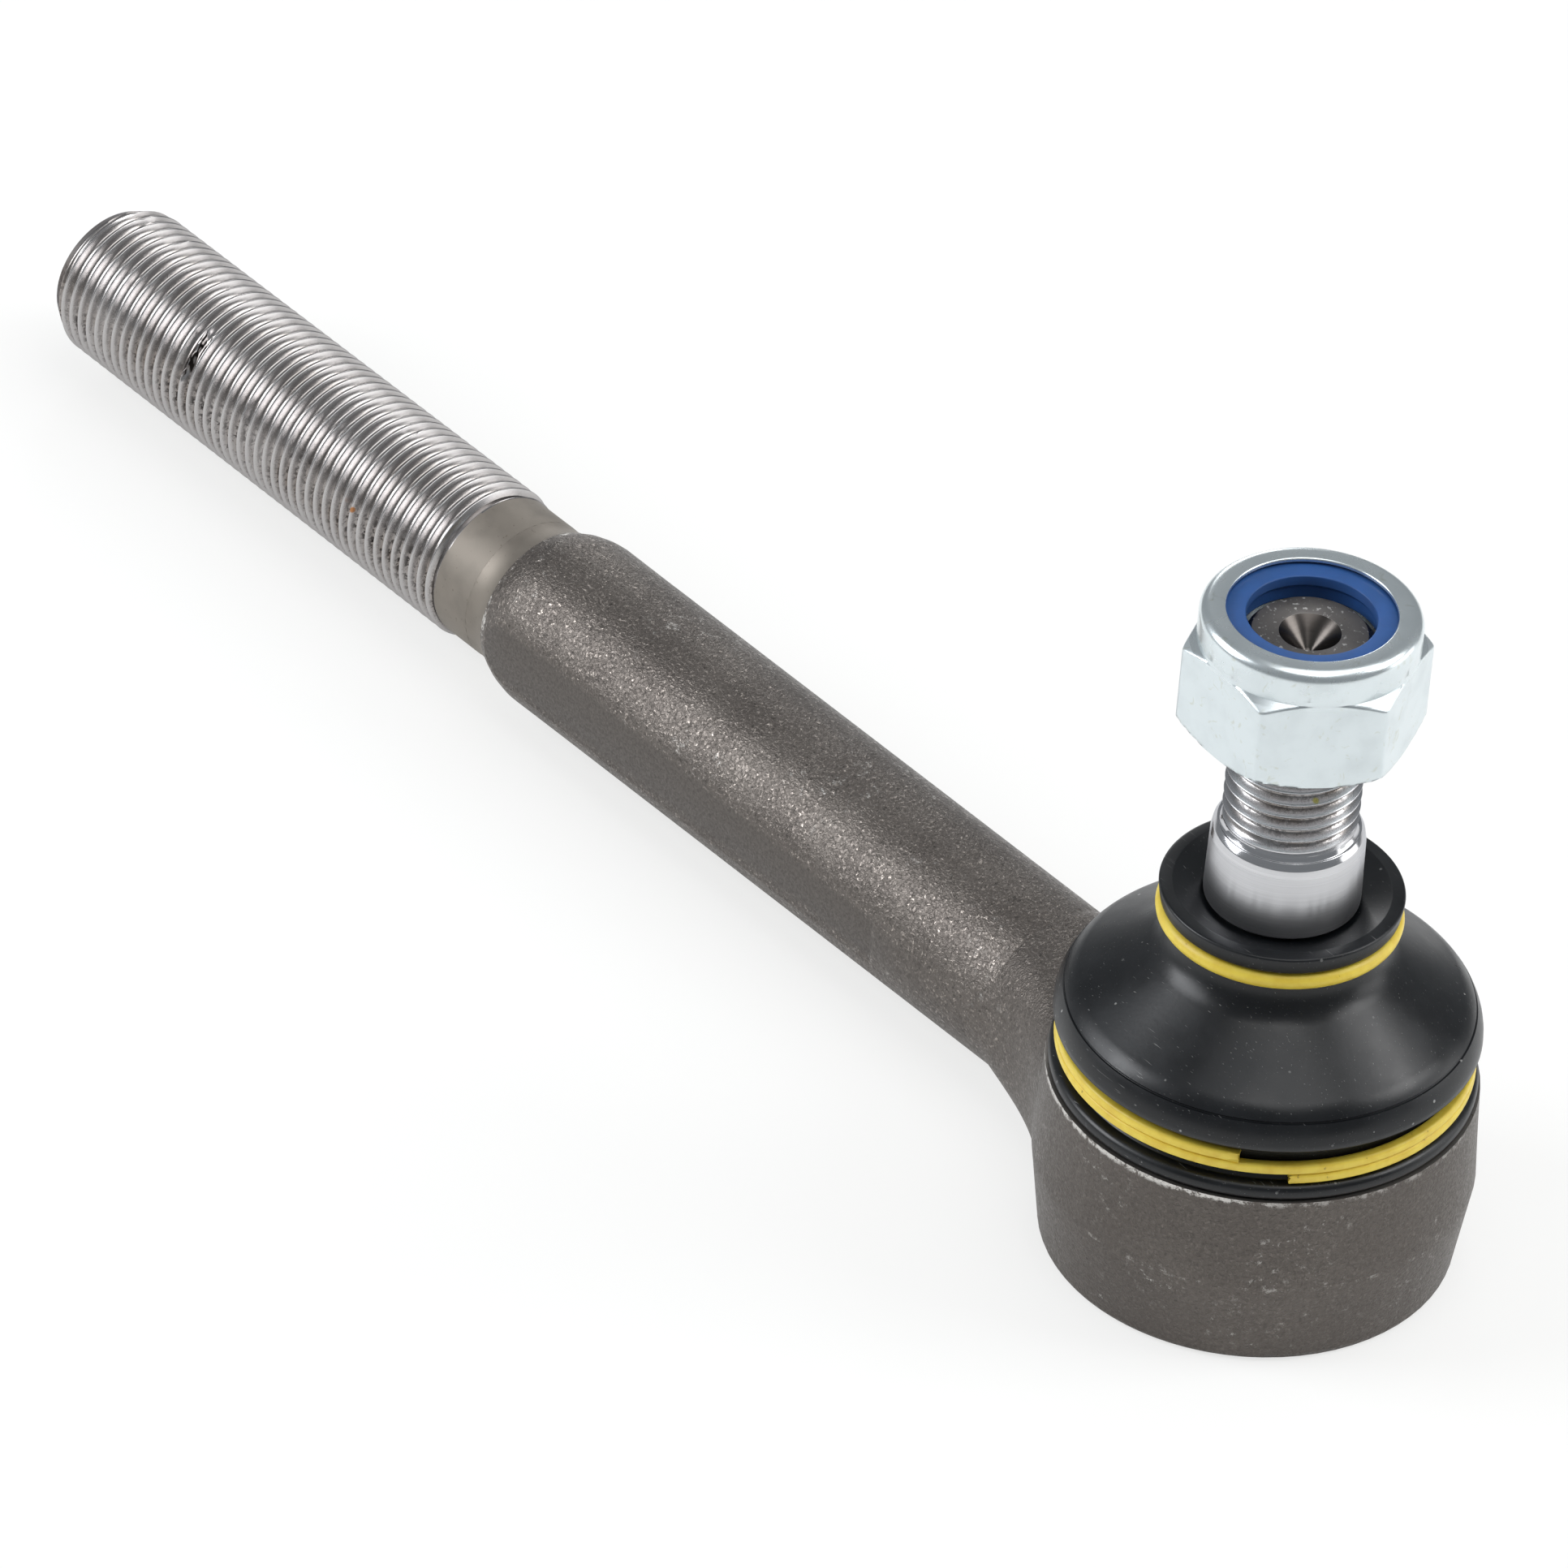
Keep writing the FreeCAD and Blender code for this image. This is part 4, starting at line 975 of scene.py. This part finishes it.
class TIEROD_OT_nut(bpy.types.Operator):
    """Make the lock nut with its chamfers, rolled collar and plain bore"""

    bl_idname = "tie_rod.nut"
    bl_label = "Lock Nut"

    def execute(self, context):
        s = sizes()
        low, high = s.nut_bottom, s.nut_top
        bore = s.stud_crest + 0.06 * MM
        seat, seat_floor = 9.25 * MM, 75.4 * MM
        slope = math.tan(math.radians(30))
        foot = 10.1 * MM
        shoulder, collar = s.nut_shoulder, s.nut_collar
        # The side stands on a cylinder at first, with more rows of points at both chamfers.
        side, rows = 12.7 * MM, 14
        chamfered, crown = low + 2.1 * MM, shoulder - 1.4 * MM
        heights = [low + rise * MM for rise in (0.1, 0.4, 0.7, 1.0, 1.3, 1.7, 2.1)]
        heights += [chamfered + (crown - chamfered) * i / rows for i in range(1, rows)]
        heights += [crown + 0.1 * MM * i for i in range(20)]
        outer = [(bore + 0.9 * MM, low), (foot, low)] + [(side, z) for z in heights]
        roll = rounded([(collar, shoulder + 0.6 * MM), (collar, high, 3.0 * MM),
                        (s.nut_rim, high - 0.1 * MM, 0.3 * MM), (s.nut_rim, high - 0.5 * MM)],
                       0.3 * MM, 8)
        inner = [(seat, high - 0.5 * MM), (seat, seat_floor), (bore, seat_floor),
                 (bore, low + 0.9 * MM)]
        bm = bmesh.new()
        spin_outline(bm, outer + roll + inner + [outer[0]], 216)

        def softest(values, sharpness):
            """The least of the values, eased where two of them are close."""
            return -math.log(sum(math.exp(-sharpness * v) for v in values)) / sharpness

        # Each point of the side slides in to the nearest of flats, chamfers and collar.
        # Points crowd towards the six edges, and the nut stands as it was tightened.
        crowding, turned = 0.72, math.radians(-3.7)
        far_out = 40.0
        for v in bm.verts:
            wanted = math.hypot(v.co.x, v.co.y)
            angle = math.atan2(v.co.y, v.co.x)
            angle -= crowding / 6 * math.sin(6 * angle)
            if abs(wanted - side) < 10 * WELD:
                offs = [math.cos(angle - (i + 0.5) * FLAT_ANGLE) for i in range(6)]
                flats = [s.nut_flats / off / MM for off in offs if off > 0.5]
                z = v.co.z
                cone_low = (foot + (z - low) / slope) / MM
                cone_high = (collar + max(shoulder - z, 0.0) / slope) / MM
                wanted = softest([softest(flats, 4.5), softest([cone_low, far_out], 10.0),
                                  softest([cone_high, far_out], 10.0)], 9.0) * MM
            v.co.x = wanted * math.cos(angle + turned)
            v.co.y = wanted * math.sin(angle + turned)
        outward(bm)
        materials = [zinc_plate("zinc_on_flats", 0.36), zinc_plate("zinc_on_rolled_collar", 0.26)]
        new_piece("zinc_lock_nut", bm, materials, "nut", "lock_nut", 40.0,
                  lambda face: int(face.calc_center_median().z > shoulder - 0.4 * MM))
        return {"FINISHED"}


class TIEROD_OT_insert(bpy.types.Operator):
    """Make the blue nylon insert of the lock nut"""

    bl_idname = "tie_rod.insert"
    bl_label = "Nylon Insert"

    def execute(self, context):
        s = sizes()
        top, bottom, outer = s.insert_top, 75.5 * MM, 9.2 * MM
        relief = 7.02 * MM
        corners = [(relief, bottom), (outer, bottom, 0.2 * MM), (outer, top, 0.3 * MM),
                   (s.insert_bore, top, 0.15 * MM), (s.insert_bore, 77.3 * MM),
                   (relief, 76.8 * MM), (relief, bottom)]
        bm = bmesh.new()
        spin_outline(bm, rounded(corners, 0.2 * MM, 4), 96)
        outward(bm)
        new_piece("blue_nylon_insert", bm, [blue_nylon()], "insert", "nylon_insert", 40.0)
        return {"FINISHED"}


class TIEROD_OT_hidden(bpy.types.Operator):
    """Give the seat and the closing plate their finish"""

    bl_idname = "tie_rod.hidden"
    bl_label = "Seat and Closing Plate"

    def execute(self, context):
        for node, material in (("ball_seat", seat_acetal()), ("cover_plate", pressed_plate())):
            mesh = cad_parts[node].data
            mesh.materials.clear()
            mesh.materials.append(material)
        return {"FINISHED"}


class TIEROD_OT_stage(bpy.types.Operator):
    """Set up the floor, the studio lights and the camera"""

    bl_idname = "tie_rod.stage"
    bl_label = "Stage"

    def execute(self, context):
        scene = context.scene
        base = colours().floor
        floor_material, add, shader, _ = new_material("pale_floor_board", base, 0.0, 0.9,
                                                       Specular_IOR_Level=0.2)
        rays = add("LightPath")
        # The floor glows as a painted pool of light, strong near the object and fading from 0.3 m to 0.7 m
        # away, which reflections show; to the camera it glows evenly.
        place = add("TexCoord")
        away = add("VectorMath", {"operation": "LENGTH"}, {0: place.outputs["Object"]})
        glow_near_object = add("MapRange", {"From Min": 0.30, "From Max": 0.70, "To Min": 1.0, "To Max": 0.1},
                  {"Value": away.outputs["Value"]})
        glow_near_object = add("Math", {"operation": "MAXIMUM"}, {0: glow_near_object, 1: rays.outputs["Is Camera Ray"]})
        glow = add("Emission", {"Color": rgba(base)}, {"Strength": glow_near_object})
        # Reflections see more of the shadows on the table than the camera does.
        mirrored = add("Math", {"operation": "MULTIPLY", 1: 0.35}, {0: rays.outputs["Is Glossy Ray"]})
        share = add("Math", {"operation": "MULTIPLY_ADD", 1: 0.72},
                    {0: rays.outputs["Is Camera Ray"], 2: mirrored})
        mix = add("MixShader", links={0: share, 1: shader, 2: glow})
        nodes = floor_material.node_tree.nodes
        connect(next(n for n in nodes if n.type == "OUTPUT_MATERIAL"), {"Surface": mix})
        bm = bmesh.new()
        bmesh.ops.create_grid(bm, x_segments=2, y_segments=2, size=3.0)
        mesh = bpy.data.meshes.new("pale_floor")
        bm.to_mesh(mesh)
        bm.free()
        mesh.materials.append(floor_material)
        floor = bpy.data.objects.new("pale_floor", mesh)
        scene.collection.objects.link(floor)

        world = bpy.data.worlds.new("studio")
        scene.world = world
        world.use_nodes = True
        world.node_tree.nodes.clear()
        add = functools.partial(add_node, world.node_tree)
        rays = add("LightPath")
        seen = add("Math", {"operation": "MAXIMUM"}, {
            0: rays.outputs["Is Camera Ray"], 1: rays.outputs["Is Transmission Ray"]})
        room = add("Background", {"Color": (0.9, 0.95, 1.0, 1), "Strength": 0.28})
        white = add("Background", {"Color": rgba(base), "Strength": 1.0})
        mix = add("MixShader", links={0: seen, 1: room, 2: white})
        add("OutputWorld", links={"Surface": mix})

        target = Vector((-0.03, 0, 0.03))
        for name, place, width, height, power, tint in (
                ("overhead_softbox", (0.10, 0.05, 0.80), 0.7, 0.5, 2.6, (1, 1, 1)),
                ("left_softbox", (-0.55, -0.58, 0.50), 0.45, 0.5, 5.3, (0.95, 0.97, 1)),
                ("rod_card", (-0.47, 0.33, 0.19), 0.15, 0.2, 0.32, (1, 1, 1)),
                ("side_card", (0.24, 0.36, 0.11), 0.26, 0.16, 0.25, (1, 1, 1)),
                ("right_softbox", (0.45, 0.52, 0.62), 0.4, 0.4, 3.0, (1, 1, 1))):
            light = bpy.data.lights.new(name, "AREA")
            light.shape = "RECTANGLE"
            light.size, light.size_y = width, height
            light.energy = power
            light.color = tint
            lamp = bpy.data.objects.new(name, light)
            lamp.location = place
            lamp.rotation_euler = (target - Vector(place)).to_track_quat("-Z", "Y").to_euler()
            scene.collection.objects.link(lamp)

        # The camera has the photo's place and its focal length, which was found in pixels.
        azimuth, elevation, roll = (math.radians(a) for a in (-42.718, 36.749, 4.573))
        distance, shift_x, shift_y = 1.346558, 0.047547, -0.045802
        focal_length, photo_width = 16089.914, 1932
        view = Vector((math.cos(elevation) * math.cos(azimuth),
                       math.cos(elevation) * math.sin(azimuth), math.sin(elevation)))
        level = Vector((-math.sin(azimuth), math.cos(azimuth), 0))
        upright = view.cross(level)
        right = level * math.cos(roll) + upright * math.sin(roll)
        up = upright * math.cos(roll) - level * math.sin(roll)
        turn = Matrix((right, up, view)).transposed()
        lens = bpy.data.cameras.new("photo_camera")
        lens.sensor_width = 36.0
        lens.lens = focal_length / photo_width * lens.sensor_width
        lens.clip_start, lens.clip_end = 0.1, 20.0
        camera = bpy.data.objects.new("photo_camera", lens)
        camera.matrix_world = Matrix.Translation(
            turn @ Vector((-shift_x, -shift_y, distance))) @ turn.to_4x4()
        scene.collection.objects.link(camera)
        scene.camera = camera
        scene.view_settings.view_transform = "Standard"
        return {"FINISHED"}


class TIEROD_PT_panel(bpy.types.Panel):
    """Lists the steps of the dressing"""

    bl_idname = "TIEROD_PT_panel"
    bl_label = "Tie Rod"
    bl_space_type = "VIEW_3D"
    bl_region_type = "UI"
    bl_category = "Tie Rod"

    def draw(self, context):
        for operator in STEPS:
            self.layout.operator(operator.bl_idname)
        for group in (context.scene.tie_rod_sizes, context.scene.tie_rod_colours):
            box = self.layout.box()
            for name in group.__annotations__:
                box.prop(group, name)


STEPS = (TIEROD_OT_forging, TIEROD_OT_rod_thread, TIEROD_OT_stud, TIEROD_OT_boot, TIEROD_OT_rings,
         TIEROD_OT_nut, TIEROD_OT_insert, TIEROD_OT_hidden, TIEROD_OT_stage)
CLASSES = (TieRodSizes, TieRodColours) + STEPS + (TIEROD_PT_panel,)


def register():
    for cls in CLASSES:
        bpy.utils.register_class(cls)
    bpy.types.Scene.tie_rod_sizes = PointerProperty(type=TieRodSizes)
    bpy.types.Scene.tie_rod_colours = PointerProperty(type=TieRodColours)


def unregister():
    del bpy.types.Scene.tie_rod_sizes
    del bpy.types.Scene.tie_rod_colours
    for cls in reversed(CLASSES):
        bpy.utils.unregister_class(cls)


def main():
    register()
    bpy.ops.tie_rod.forging()
    bpy.ops.tie_rod.rod_thread()
    bpy.ops.tie_rod.stud()
    bpy.ops.tie_rod.boot()
    bpy.ops.tie_rod.rings()
    bpy.ops.tie_rod.nut()
    bpy.ops.tie_rod.insert()
    bpy.ops.tie_rod.hidden()
    bpy.ops.tie_rod.stage()


if __name__ == "__main__":
    main()
